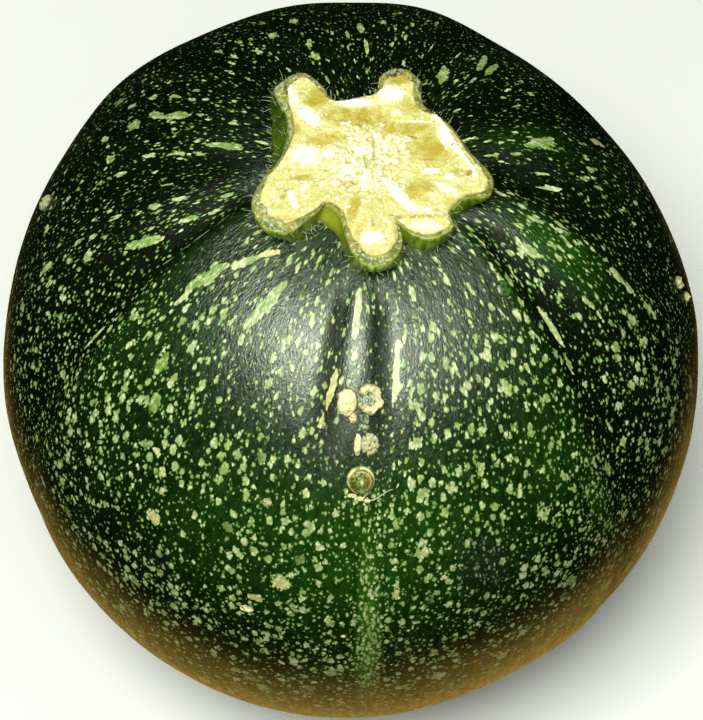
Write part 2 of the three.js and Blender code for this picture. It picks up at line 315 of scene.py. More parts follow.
# the large pale marks, rib by rib: azimuth, arc mm, width in degrees, length mm
spots = {
    "plain": [
        # front ribs
        (-4, 51.8, 2, 2), (11.2, 59.2, 3, 3.5), (34.6, 38.8, 3, 3.5), (24.6, 36, 2.3, 2.7),
        (34, 33.2, 4, 3), (38.5, 31, 2, 2), (19.4, 30, 2, 2), (18.8, 32.6, 2, 2),
        (13, 36.7, 2, 2.7), (17.3, 49.7, 2.7, 2.7), (12, 49.5, 3, 2.3), (10, 47.2, 2.3, 2.7),
        (29.4, 48.2, 2.7, 2), (35.4, 46.7, 2.7, 2.3), (23.8, 47.8, 2, 2), (12, 41.8, 2.3, 2.3),
        (21.3, 40.7, 2.3, 1.5), (26.5, 42.6, 2, 2), (33, 44.2, 2, 2), (37.3, 42.6, 2, 2),
        (-10, 49.3, 2, 2.3), (-20.8, 51.7, 2, 2), (-8, 54.7, 2, 2), (-12.5, 54.3, 2, 2),
        (35, 53, 2, 2), (33, 60.3, 2.7, 3.5), (-6.3, 57.4, 2, 2), (-19.8, 61.7, 2, 2),
        (12.7, 26.3, 1.7, 2.7), (28.5, 25.7, 2.3, 1.7), (22.7, 26, 2, 2), (19.4, 25.7, 2, 2),
        (-17.7, 24.5, 2.7, 3), (-23.8, 28.8, 2, 2), (34.6, 20.3, 4, 3.5), (19.6, 20, 3, 4),
        (12.5, 21.8, 1.5, 3.5), (35, 26.3, 2, 2), (27.8, 72.8, 1.6, 2.3), (-3.8, 72, 2, 3.5),
        (24, 61.3, 1.8, 1.8), (14.3, 64.8, 1.8, 2), (18, 73.5, 1.8, 2), (13.4, 73, 1.6, 2),
        (34.8, 72.5, 1.6, 2.2), (-14.3, 79.7, 2, 2.5), (-5.5, 79, 1, 2.3), (-18.3, 82.8, 1.8, 1.8),
        (-9, 83.5, 1.7, 2.3), (-3.4, 86, 2, 4), (9.3, 83.7, 1.5, 2.3), (-33.5, 86, 1.2, 3),
        (-21.6, 87.7, 1.5, 2.3), (12.8, 91, 1.2, 2.5), (15, 85, 1.5, 2), (22.5, 82, 1.5, 2),
        # ribs to the left of the front
        (-48.5, 19, 3, 2), (-52.3, 23.3, 3.8, 2.5), (-33, 18, 2.5, 2), (-37.7, 40, 2, 3.5),
        (-44.6, 29.6, 2, 2), (-46, 32.3, 2, 2), (-45, 36, 2, 2), (-51.3, 49, 2, 2),
        (-50, 52.5, 2, 2.3), (-42, 53, 2.7, 2.3), (-39, 52.7, 2, 2), (-53.7, 57, 2, 2),
        (-50.3, 57, 2, 2), (-57, 60, 2, 2), (-54.6, 66.3, 1.8, 2.2), (-48.8, 66.3, 2, 2),
        (-39, 72.3, 2, 2), (-63.5, 73.5, 2, 2), (-65.5, 58.7, 2, 2), (-45.5, 62.2, 2, 2),
        (-47, 63.5, 1.6, 1.5), (-44.3, 67.3, 1.6, 2), (-36.4, 68, 1.6, 2), (-46.5, 69, 1.5, 1.8),
        (-79.4, 23.3, 2.3, 2.7), (-84.2, 20.8, 2.3, 2.7), (-87, 28.3, 2.3, 3),
        (-86.8, 32.5, 2.5, 3), (-88, 39.6, 1.5, 3.5), (-85.8, 44.2, 1.5, 3), (-86.7, 48, 1.5, 3),
        (-82, 45.4, 3.5, 2.3), (-86.2, 55.8, 2.3, 5), (-82.3, 55.4, 2.3, 2.3),
        (-76.7, 57, 2.3, 2), (-77.3, 52.5, 2, 2), (-83.3, 64.6, 2, 2), (-55.8, 40.5, 1, 3),
        (-56.7, 47.5, 1.3, 3.3), (-57, 43.6, 2, 2), (-57, 50.6, 1.5, 2), (-55.8, 37, 1.5, 2),
        # ribs to the right of the front
        (66.9, 27, 3.5, 5.8), (78.3, 25.8, 2, 4.2), (73.5, 24, 2.3, 2.3), (75.2, 50.8, 2, 5.5),
        (51.7, 47, 2, 2), (57.5, 45.8, 1.7, 2), (61.7, 47, 1.5, 2.7), (69.6, 47.7, 2.3, 2.7),
        (56, 49, 2, 2), (60.8, 38.7, 1.7, 2), (64.8, 38.7, 1.5, 3), (67.7, 51.3, 2, 2),
        (62, 55.2, 2, 2), (55.4, 54.4, 2, 2), (51.7, 55.8, 1.2, 3.5), (65, 58.8, 3.5, 1.5),
        (66.5, 56.7, 2, 2), (53, 60.2, 2, 2), (56.2, 63, 2, 2), (48.5, 73.8, 2, 3),
        (66, 67.3, 3, 2.3), (38.8, 56.7, 2, 2), (39.6, 59.2, 2, 2), (71.7, 61.7, 2, 2),
        (66.2, 63.7, 2, 2), (69.8, 63.5, 2, 2), (74.8, 72.3, 2.3, 3), (57, 27.3, 1.2, 3.5),
        (57.5, 21.7, 1.2, 2.3), (59.6, 18.7, 1.5, 2.7), (40.8, 23.5, 2, 3), (44.2, 29.2, 1, 3),
        (38, 31.3, 1.7, 2.7), (39.8, 32.5, 1.7, 2.3), (42, 43.5, 2, 2), (63, 24.4, 2, 2),
        (60.6, 30.2, 2, 2), (72.7, 30.4, 1.7, 3), (78.3, 30, 2, 2), (78, 34.2, 1.6, 2.2),
        (77.7, 39.2, 1.6, 2), (98, 27.3, 1.5, 5), (98.8, 34.8, 2, 3), (97.5, 38, 1.2, 2.7),
        (102.3, 37, 2.3, 2), (94.4, 43.5, 1.6, 2), (92.3, 45.8, 1.6, 2), (98, 47.3, 1.6, 2),
        (90, 50.6, 1.6, 2),
        # ribs at the back
        (105, 23.4, 1.8, 2.5), (110.5, 21.6, 2, 1.3), (105.2, 20, 2.5, 1.6), (102, 20.7, 1.5, 1.3),
        (112.5, 19.3, 1.3, 1.5), (116, 16.5, 2.8, 3.6), (107.8, 32.2, 1.8, 1.8),
        (111.8, 35.5, 1.8, 1.3), (102.4, 37, 2, 2), (103, 38.5, 1.5, 1.5), (134.8, 19.2, 2, 2.6),
        (129, 20.4, 1.5, 1.8), (126.8, 30.3, 1.5, 2.7), (129, 31.4, 1, 2.5), (131.3, 29.2, 1.6, 1.5),
        (133.2, 31.4, 1.5, 2.7), (126.6, 33.6, 1, 2.2), (130.2, 36.2, 2, 2.8), (134.7, 36.2, 1.2, 2),
        (141.6, 26.7, 1.3, 2.6), (144.2, 26.6, 1, 2.2), (152.3, 28.8, 1, 2), (160.3, 31, 0.8, 4),
        (161.6, 27.6, 1, 3), (166.5, 24, 1.5, 3), (172, 28, 1.8, 2), (168.5, 31, 1.5, 3.5),
        (172, 33.4, 1.5, 1.4), (168, 36.5, 1.2, 4), (175.8, 36.3, 2.5, 3), (163, 41, 1.2, 5),
        (-179.5, 20.6, 2, 2.5), (-174.3, 31.3, 1.7, 4.6), (-175, 23.5, 1, 2), (-173.5, 27, 1, 2.2),
        (-161.5, 19.5, 1.8, 3), (-153.3, 26.4, 1.5, 1), (-155, 29, 1.3, 2), (-150.5, 29, 1, 2),
        (-154, 32.2, 1.5, 1.2), (-148.5, 33.4, 1.8, 3.2), (-154.8, 36.2, 3.2, 3.2),
        (-143, 36, 1.6, 3.5), (-141, 34.5, 1.3, 3), (-145, 31.3, 1.2, 1.3), (-162, 39, 2.3, 4.5),
        (-147.5, 39.7, 1.4, 3), (-142.5, 40.3, 1.8, 3.5), (-155.8, 43, 2, 3), (-144.5, 43.5, 1.3, 1.8),
        (-148.4, 46, 1.8, 2.2), (-124.5, 22.8, 1.7, 1.8), (-118, 23, 1.8, 2.3), (-127.3, 26, 1.5, 2.3),
        (-123, 25.5, 1, 3.5), (-112, 16.8, 2.2, 3.5), (-102, 19.3, 1.3, 1.3), (-103.5, 26, 2.2, 2.5),
        (-118.7, 29.3, 1.5, 2.5), (-113.5, 29.3, 1.3, 1.5), (-104, 30, 1.8, 4.2), (-102, 29.3, 1, 1.7),
        (-104.3, 35.5, 1.8, 3.2), (-107.6, 34.5, 1.5, 2.3), (-98.8, 33.5, 1.3, 1.8),
        (-124.8, 30.5, 1.3, 1.8), (-123.5, 33, 2.3, 2.2), (-123.8, 37, 1.3, 3.5),
        (-123.2, 41.8, 2.3, 2.8), (-124, 45, 1.2, 2), (-120.8, 46, 1.7, 3.5), (-100.6, 40.5, 1.7, 3.4),
        (-100, 45, 1.6, 2.7), (-112, 47.8, 2, 3.3), (-102.4, 50, 1.5, 2), (-99.8, 53, 1.5, 2),
        (-93.5, 30.5, 0.9, 3.5),
    ],
    "mottled": [
        (-48.3, 41.5, 3.4, 4), (-44.6, 46.3, 4.2, 4.2), (-55.6, 69.4, 2, 3.5), (-79.4, 28, 2.2, 5.4),
        (-35.7, 78.5, 2.8, 3), (35.6, 78.3, 3.5, 3.3), (-150.5, 25, 2, 2), (150.5, 24, 5, 4.5),
        (-161.3, 25.5, 4, 3.6), (-107.2, 21, 4, 4.5), (-114.5, 41.8, 4, 3.4), (-105.8, 43.8, 3, 3),
        (109, 29, 5, 6), (47.8, 61.5, 1.8, 3.5),
    ],
    "golden": [
        (-35, 62.7, 3.8, 3.2), (-35.4, 57.7, 1.6, 1.8), (-33, 72.7, 2, 2), (-12.1, 65.2, 3.6, 3.5),
        (-15.7, 69.4, 3.6, 2.2), (6.4, 66.6, 2, 3.4), (6.8, 64.6, 1.2, 2.4), (-18.7, 68.3, 1, 1.6),
        (-137.8, 32.8, 1.7, 4.5), (-96, 58.5, 2.2, 3), (113, 43.3, 3, 4),
    ],
    "faint": [
        (-19.8, 45.5, 2.4, 2.2), (-9.2, 60.3, 2.4, 2.2), (-22, 58, 2.4, 2.2), (11.8, 68.5, 1.6, 2.4),
        (-51, 77, 3, 2.5), (-48, 80, 2, 2), (47, 83.3, 1.4, 3), (-36.8, 89, 3, 2.5),
        (-51.7, 88, 2.5, 2.5), (-15.5, 93.5, 3.4, 2.5), (-6.8, 93, 2.4, 3), (-6.8, 95.6, 2.3, 2),
        (-18, 100, 2, 3), (-123, 51.5, 3, 3.2), (-112.5, 52, 1.5, 1.5), (-102.5, 55, 1.5, 1.5),
        (-175, 40.4, 1.6, 2), (173, 40.5, 1.6, 3),
    ],
}

# long marks that follow the ribs: from azimuth, arc to azimuth, arc, and width mm
streaks = {
    "plain": [
        (-2.6, 18.6, -3, 26.2, 1.3), (10.4, 26.5, 7.5, 36.4, 1.15), (54.8, 32.7, 53, 40, 1.2),
        (51.9, 40.6, 50.8, 44, 1.0), (-65.8, 45.4, -65.2, 52.7, 0.7), (-56.4, 31, -56.2, 34.5, 0.9),
        (-49.8, 20.4, -53.8, 24.4, 1.5), (84.4, 56, 82, 63, 0.35), (84.6, 52.3, 83, 55, 0.3),
        (76.4, 40.5, 75.6, 43.5, 1.9), (75.6, 43.8, 75.2, 46.2, 1.5), (93.5, 26, 93.3, 30.5, 0.5),
        (-179.9, 25, -179.4, 30, 0.7), (152.1, 30.6, 152.5, 33.6, 0.45), (94.6, 27, 94, 31, 0.5),
    ],
    "mottled": [
        (-55.4, 24.6, -57.4, 31.2, 2.0), (-33.6, 21, -36.2, 29.6, 2.1), (-77, 32, -78.8, 38.4, 1.6),
        (141, 30, 142.4, 35.4, 1.2), (143.6, 29.6, 146.8, 36.4, 1.3), (-107.6, 22, -107.2, 25.6, 1.0),
        (-117.8, 31.4, -116.6, 36, 2.0), (-116.8, 36, -117.8, 39.6, 1.6), (149, 22, 152.8, 26.6, 1.4),
        (-161.4, 28, -162.5, 31, 1.0), (108.4, 25.6, 111.4, 31.6, 1.7), (-178.6, 32, -178, 36, 1.2),
    ],
    # painted highlight: a thin pale line down the crease of the deep left-hand furrow
    "faint": [
        (-75.8, 21, -72.7, 24, 0.4), (-72.7, 24, -70.4, 28.5, 0.42), (-70.4, 28.5, -69.3, 34, 0.34),
    ],
    "golden": [
        (-7.2, 30.6, -8.5, 36.8, 1.1), (-8.7, 37.2, -9.4, 39.8, 0.9), (-44.6, 17.6, -49.6, 20.2, 1.2),
    ],
}

# greener skin, sparse flecks, scuffs: azimuth, arc, half width in degrees, half length mm, strength
toneZones = {
    "green": [
        (2, 57, 26, 18, 0.62), (2.2, 78, 2.0, 28, 0.8), (36, 52, 12, 14, 0.4), (72, 30, 9, 9, 0.8),
        (-20, 56, 16, 16, 0.4), (-45, 33, 10, 9, 0.3), (112, 27, 7, 9, 0.3),
    ],
    "sparse": [
        (-68, 25, 8, 10, 0.9), (-30, 33, 9, 10, 0.25), (3, 25, 5, 8, 0.5), (120, 20, 8, 7, 0.8),
        (-168, 22, 8, 7, 0.8), (-133, 24, 8, 9, 0.8), (-92, 18, 12, 6, 0.6), (44, 21, 6, 6, 0.5),
        (156, 31, 5, 6, 0.5), (90, 26, 6, 8, 0.4), (-16, 19, 8, 6, 0.3), (-1, 42, 7, 8, 0.6),
    ],
    "crowded": [
        (2.2, 76, 2.5, 28, 1.0), (44, 66, 5, 14, 0.6), (-62, 60, 6, 18, 0.4),
    ],
    "scuffed": [
        (21, 64.5, 4, 5, 0.9), (-5, 41, 3, 6, 0.5), (-31.5, 71, 1.6, 2.5, 0.6), (8, 78, 4, 5, 0.3),
    ],
}

# the big flecks are placed down to here, arc mm, and scattered below
scatteredBelow = {"from": 76, "to": 92, "higherBehind": 22}

# painted light: the lobe in front, between its two deep furrows, is painted greener and lighter than the
# rest, standing in for the light it faces
paintedLightFrontLobe = {
    "left": furrows[-1],
    "right": furrows[2],
    "soft": 5,
    "fades": (38, 84),
    "strength": 0.2,
}


# how deep inside a mark a point is: 1 in its middle, 0 on its edge, less outside
def markDepth(grid, marks, longMarks):
    depth = np.full(len(grid["arc"]), -3.0)
    for azimuth, arc, width, length in marks:
        near = np.abs(grid["arc"] - arc) < length + 2
        across = np.radians(turnBetween(grid["azimuth"][near], azimuth)) * grid["reach"][near]
        halfWidth = np.radians(width) * reachAt(arc) / 2
        along = (grid["arc"][near] - arc) / (length / 2)
        depth[near] = np.maximum(depth[near], 1 - np.hypot(across / halfWidth, along))
    for startAzimuth, startArc, endAzimuth, endArc, width in longMarks:
        near = (grid["arc"] > startArc - 3) & (grid["arc"] < endArc + 3)
        part = np.clip((grid["arc"][near] - startArc) / (endArc - startArc), 0, 1)
        centre = startAzimuth + (endAzimuth - startAzimuth) * part
        across = np.radians(turnBetween(grid["azimuth"][near], centre)) * grid["reach"][near]
        beyond = grid["arc"][near] - (startArc + (endArc - startArc) * part)
        halfWidth = width / 2 * (1 - 0.6 * np.abs(2 * part - 1) ** 3)
        depth[near] = np.maximum(depth[near], 1.7 * (1 - np.hypot(across, beyond) / halfWidth))
    return depth


def zoneStrength(grid, zones):
    total = np.zeros(len(grid["arc"]))
    for azimuth, arc, halfWidth, halfLength, strength in zones:
        across = turnBetween(grid["azimuth"], azimuth) / halfWidth
        along = (grid["arc"] - arc) / halfLength
        total = np.maximum(total, strength * np.exp(-across ** 2 - along ** 2))
    return total


def bellGroup():
    group, add, given = startTree("bell", {"Offset": "Float", "Spread": "Float"}, {"Bell": "Float"})
    ratio = add("Math DIVIDE", given["Offset"], given["Spread"])
    square = add("Math MULTIPLY", ratio, ratio)
    add("NodeGroupOutput", add("Math EXPONENT", add("Math MULTIPLY", square, -1.0)))
    return group


# the furrows between the ribs, the broad swells, and the skin's fine wrinkles
def ribbedSkinTree():
    sizes = ("Furrow Depth", "Wrinkle Height", "Wrinkle Width", "Uneven Height", "Uneven Width")
    inputs = {"Geometry": "Geometry", **{size: "Float" for size in sizes}, "Skin": "Material"}
    tree, add, given = startTree("ribbedSkin", inputs, {"Geometry": "Geometry"})
    bell = bellGroup()
    azimuth, down, recess = [
        add("GeometryNodeInputNamedAttribute FLOAT", Name=name) for name in ("azimuth", "down", "recess")]
    outward, pattern = [
        add("GeometryNodeInputNamedAttribute FLOAT_VECTOR", Name=name) for name in ("outward", "pattern")]

    # furrows leave the stem at one azimuth and drift to another on the flank
    below = add("Math MULTIPLY_ADD", down, -1 / swing["eases"], swing["starts"] / swing["eases"])
    drift = add("Math MINIMUM", add("Math EXPONENT", below), 1.0)
    cut = 0.0
    for furrow in furrows:
        swingBy = furrow["atStem"] - furrow["onFlank"]
        centre = add("Math MULTIPLY_ADD", drift, swingBy, furrow["onFlank"])
        turn = add("Math WRAP", add("Math SUBTRACT", azimuth, centre), 180.0, -180.0)
        spread = furrow["spread"]
        if "farSpread" in furrow:
            farther = add("Math GREATER_THAN", add("Math MULTIPLY", turn, furrow["farSide"]), 0.0)
            spread = add("Math MULTIPLY_ADD", farther, furrow["farSpread"] - spread, spread)
        shape = add("GeometryNodeGroup", node_tree=bell, Offset=turn, Spread=spread)
        if "until" in furrow:
            ending = add("MapRange SMOOTHSTEP", down, furrow["until"] - 18.0, furrow["until"], 1.0, 0.0)
            shape = add("Math MULTIPLY", shape, ending)
        cut = add("Math MULTIPLY_ADD", shape, furrow["depth"], cut)
    # they rise from the crown, ease on the flank and end above the foot
    for fade in ((12.0, 22.0), (25.0, 95.0, 1.0, 0.3), (120.0, 165.0, 1.0, 0.0)):
        cut = add("Math MULTIPLY", cut, add("MapRange SMOOTHSTEP", down, *fade))
    cut = add("Math MULTIPLY", cut, given["Furrow Depth"])

    # broad swells, none at the poles
    sine = add("Math SINE", add("Math RADIANS", down))
    inland = add("Math MULTIPLY", sine, sine)
    swelling = 0.0
    for swell in swells:
        turn = add("Math WRAP", add("Math SUBTRACT", azimuth, swell["azimuth"]), 180.0, -180.0)
        around = add("GeometryNodeGroup", node_tree=bell, Offset=turn, Spread=swell["around"])
        lower = add("Math SUBTRACT", down, swell["down"])
        along = add("GeometryNodeGroup", node_tree=bell, Offset=lower, Spread=swell["along"])
        both = add("Math MULTIPLY", around, along)
        swelling = add("Math MULTIPLY_ADD", both, swell["rise"], swelling)
    out = add("Math SUBTRACT", add("Math MULTIPLY", swelling, inland), cut)

    # lengthways wrinkles on the shoulder and a slight unevenness all over
    drawn = add("VectorMath MULTIPLY", pattern, (1.0, 1.0, 0.3))
    onShoulder = add("MapRange SMOOTHSTEP", down, 14.0, 46.0, 1.0, 0.15)
    for kind, place, detail, where in (
            ("Wrinkle", drawn, 2.0, onShoulder), ("Uneven", pattern, 1.0, inland)):
        perWidth = add("Math DIVIDE", 1.0, given[kind + " Width"])
        waves = add("Math MULTIPLY_ADD", add("TexNoise", place, perWidth, detail), 2.0, -1.0)
        waves = add("Math MULTIPLY", add("Math MULTIPLY", waves, where), given[kind + " Height"])
        out = add("Math ADD", out, waves)
    push = add("VectorMath SCALE", outward, add("Math MULTIPLY", out, mm))

    kept = add("GeometryNodeStoreNamedAttribute FLOAT", given["Geometry"], Name="furrow", Value=cut)
    moved = add("GeometryNodeSetPosition", kept, Offset=push)
    # nothing sinks below the foot, and the blossom scar's hollow stands above it
    x, y, z = add("SeparateXYZ", add("GeometryNodeInputPosition")).outputs
    above = add("CombineXYZ", x, y, add("Math MAXIMUM", z, recess))
    rested = add("GeometryNodeSetPosition", moved, Position=above)
    real = add("GeometryNodeRealizeInstances", rested)
    add("NodeGroupOutput", add("GeometryNodeSetMaterial", real, Material=given["Skin"]))
    return tree


# fleck sizes in mm of pattern space
fleckSizes = {
    "fine": {"cell": 0.98, "small": 0.10, "large": 0.29, "wobble": 0.3, "share": 0.92, "grainy": 0.06},
    "middling": {"cell": 1.8, "small": 0.25, "large": 0.69, "wobble": 0.6, "share": 0.95, "grainy": 0.2},
    "big": {"cell": 8.0, "small": 1.0, "large": 1.7, "wobble": 1.4, "share": 0.6, "grainy": 0.3},
    "dashes": {"cell": 0.78, "small": 0.25, "large": 0.45, "wobble": 0.2, "share": 0.95, "grainy": 0.06},
}


# how far inside a fleck a point of the skin is, in mm; negative outside. The flecks' middles
# are scattered through space, and each is brought most of the way onto the skin
def fleckLayer(add, place, facing, crowding, grains, layer):
    wander = add("TexNoise", place, 2.4 / layer["cell"], 1.0)
    centred = add("VectorMath SUBTRACT", wander.outputs["Color"], (0.5, 0.5, 0.5))
    bent = add("VectorMath MULTIPLY_ADD", centred, (layer["wobble"],) * 3, place)
    cells = add("TexVoronoi", bent, 1 / layer["cell"])
    chance = add("SeparateColor", cells.outputs["Color"])
    toMiddle = add("VectorMath SUBTRACT", cells.outputs["Position"], bent)
    depth = add("VectorMath DOT_PRODUCT", toMiddle, facing)
    lift = add("VectorMath SCALE", facing, add("Math MULTIPLY", depth, -0.75))
    distance = add("VectorMath LENGTH", add("VectorMath ADD", toMiddle, lift))
    radius = add("MapRange", chance.outputs["Red"], 0, 1, layer["small"], layer["large"])
    inside = add("Math SUBTRACT", add("Math MULTIPLY", radius, crowding), distance)
    lobed = add("Math MULTIPLY_ADD", grains, layer["grainy"], inside)
    kept = add("Math LESS_THAN", chance.outputs["Green"], layer["share"])
    return add("Math ADD", lobed, add("Math MULTIPLY_ADD", kept, 5.0, -5.0))


# waxy squash rind: a smooth cuticle over dark green cells, so it is glossy but soft-edged in
# its highlights, with pale flecks in the skin itself and fine lengthways growth lines
def waxySquashRind():
    material, add, pattern, facing, marks, tones, wear = startMaterial(
        "waxySquashRind", "pattern", "facing", "marks", "tones", "wear")
    furrow = add("Attribute", attribute_name="furrow").outputs["Fac"]
    markDeep, mottled, golden = add("SeparateXYZ", marks).outputs
    greenZone, sparse, unplaced = add("SeparateXYZ", tones).outputs
    scuffed, crowded, lined = add("SeparateXYZ", wear).outputs

    # ground colour: near-black green, with mid green cells showing through in clouds and lines,
    # greener in zones and down the band, lighter and greener on the lobe in front as painted light, and
    # darkened in the furrows by painted shade
    clouds = add("TexNoise", pattern, 1 / 9, 3.0)
    drawn = add("VectorMath MULTIPLY", pattern, (1.0, 1.0, 0.22))
    lines = add("TexNoise", drawn, 1 / 0.9, 3.0, 0.65)
    grain = add("TexNoise", pattern, 1 / 0.32, 2.0)
    blend = add("MapRange SMOOTHSTEP", add("Math MULTIPLY", clouds, lines), 0.17, 0.42)
    ground = add("Mix RGBA", blend, "#020600", "#0c1c06")
    greener = add("Math MULTIPLY", greenZone, lines)
    greener = add("Math MULTIPLY", greener, 1.6, use_clamp=True)
    band = add("Math MULTIPLY", add("MapRange", crowded, 0.4, 1.0), lines)
    band = add("Math MULTIPLY", band, 1.05, use_clamp=True)
    # painted shade: the deeper the furrow, the nearer the ground colour goes to near-black
    shaded = add("MapRange", furrow, 0.05, 0.5, 0.0, 0.92)
    for amount, tint in ((greener, "#24540a"), (band, "#447c14"), (shaded, "#050c02")):
        ground = add("Mix RGBA", amount, ground, tint)

    # pale cell groups: grains under half a millimetre that stand alone as fine flecks or
    # crowd together, lobed like spawn, into larger ones
    grains = add("Math MULTIPLY_ADD", add("TexVoronoi", pattern, 1 / 0.5), -1.6, 0.5)
    fuller = add("Math MULTIPLY_ADD", crowded, 0.6, add("MapRange", sparse, 0, 1, 1.0, 0.35))
    patchy = add("MapRange", add("TexNoise", pattern, 1 / 5, 1.0), 0.3, 0.7, 0.74, 1.18)
    crowding = add("Math MULTIPLY", fuller, patchy)
    calmer = add("Math MULTIPLY", crowding, add("MapRange", furrow, 0.25, 1.0, 1.0, 0.55))
    calmer = add("Math MULTIPLY", calmer, add("Math MULTIPLY_ADD", crowded, -0.9, 1.0))
    # small dashes crowd in the band down the middle of a rib
    halved = add("VectorMath MULTIPLY", pattern, (1.0, 1.0, 0.5))
    fine, middling, big, dashes = [
        fleckLayer(add, place, facing, amount, grains, fleckSizes[size])
        for place, amount, size in ((pattern, crowding, "fine"), (pattern, calmer, "middling"),
                                    (pattern, calmer, "big"), (halved, crowded, "dashes"))]
    big = add("Math ADD", big, add("Math MULTIPLY_ADD", unplaced, 5.0, -5.0))

    # placed marks get the same lobed edge
    lobes = add("Math MULTIPLY_ADD", add("TexNoise", pattern, 1 / 1.1, 1.0), 1.3, -0.78)
    placed = add("Math MULTIPLY_ADD", grains, 0.32, add("Math ADD", markDeep, lobes))
    depth = fine
    for layer in (middling, big, dashes, placed):
        depth = add("Math MAXIMUM", depth, layer)
    depth = add("Math ADD", depth, add("Math MULTIPLY_ADD", grain, 0.24, -0.12))

    # each fleck is palest in its middle, greener at its edge, with a green haze round it
    halo = add("MapRange SMOOTHSTEP", depth, -0.15, 0.03, 0.0, 0.5)
    core = add("MapRange SMOOTHSTEP", depth, -0.05, 0.05)
    heart = add("MapRange SMOOTHSTEP", depth, -0.02, 0.2)
    onPlaced = add("MapRange SMOOTHSTEP", placed, -0.12, 0.02)
    tint = add("MapRange SMOOTHSTEP", add("TexNoise", pattern, 1 / 1.6, 1.0), 0.36, 0.62)
    mottle = add("MapRange SMOOTHSTEP", add("TexNoise", pattern, 1 / 0.6, 2.0), 0.4, 0.6)
    for amount in (mottled, onPlaced, 0.85):
        mottle = add("Math MULTIPLY", mottle, amount)
    pale = add("Mix RGBA", mottle, add("Mix RGBA", tint, "#9fb56c", "#d8dca8"), "#6f9a30")
    gilded = add("Math MULTIPLY", golden, onPlaced, use_clamp=True)
    fleck = add("Mix RGBA", heart, "#5f8a38", add("Mix RGBA", gilded, pale, "#dcd692"))
    # faint marks let the ground through
    faded = add("Math SUBTRACT", 1.0, add("MapRange", golden, -1.0, 0.0, 0.4, 1.0))
    faded = add("Math MULTIPLY", faded, onPlaced)
    visible = add("Math MULTIPLY", core, add("Math SUBTRACT", 1.0, faded))
    # the gaps between grains stay a little darker inside a fleck
    gaps = add("Math MULTIPLY", add("MapRange", grains, 0.0, -0.35, 0.0, 0.38), visible)
    # scuffs: dulled dark skin with tiny dry scratches
    dulled = add("Math MULTIPLY", scuffed, 0.7)
    chips = add("MapRange", add("TexVoronoi", drawn, 1 / 0.8), 0.26, 0.16)
    chipped = add("Math MULTIPLY", chips, scuffed)
    color = ground
    for amount, tint in ((halo, "#1c420a"), (visible, fleck), (gaps, "#3a5a22"), (dulled, "#0a110a"),
                         (chipped, "#9aa088")):
        color = add("Mix RGBA", amount, color, tint)

    # wax is dulled by scuffs and a little rougher in the furrows, and the furrows' reflection is darkened
    # as painted shade, so they mirror little
    gloss = add("MapRange", lines, 0.3, 0.7, 0.24, 0.38)
    gloss = add("Math MULTIPLY_ADD", scuffed, 0.25, gloss)
    gloss = add("Math MULTIPLY_ADD", shaded, 0.12, gloss, use_clamp=True)
    furrowShadeOnGloss = add("MapRange", furrow, 0.08, 0.6, 0.0, 0.85)
    mirrored = add("Mix RGBA", furrowShadeOnGloss, "#fafff0", "#1a2010")
    # growth lines about 0.4 mm apart near the stem, fading to a fine cell grain on the flank
    relief = add("TexNoise", drawn, 1 / 0.5, 3.0, 0.6, Distortion=0.6)
    relief = add("Math MULTIPLY", relief, lined)
    for layer, weight in ((grain, 0.3), (core, 0.1)):
        relief = add("Math MULTIPLY_ADD", layer, weight, relief)
    bump = add("Bump", Strength=1.0, Distance=0.0001, Height=relief)
    return finishMaterial(material, add, color, {
        "Roughness": gloss, "IOR": 1.46, "Specular IOR Level": 0.92, "Specular Tint": mirrored,
        "Normal": bump})


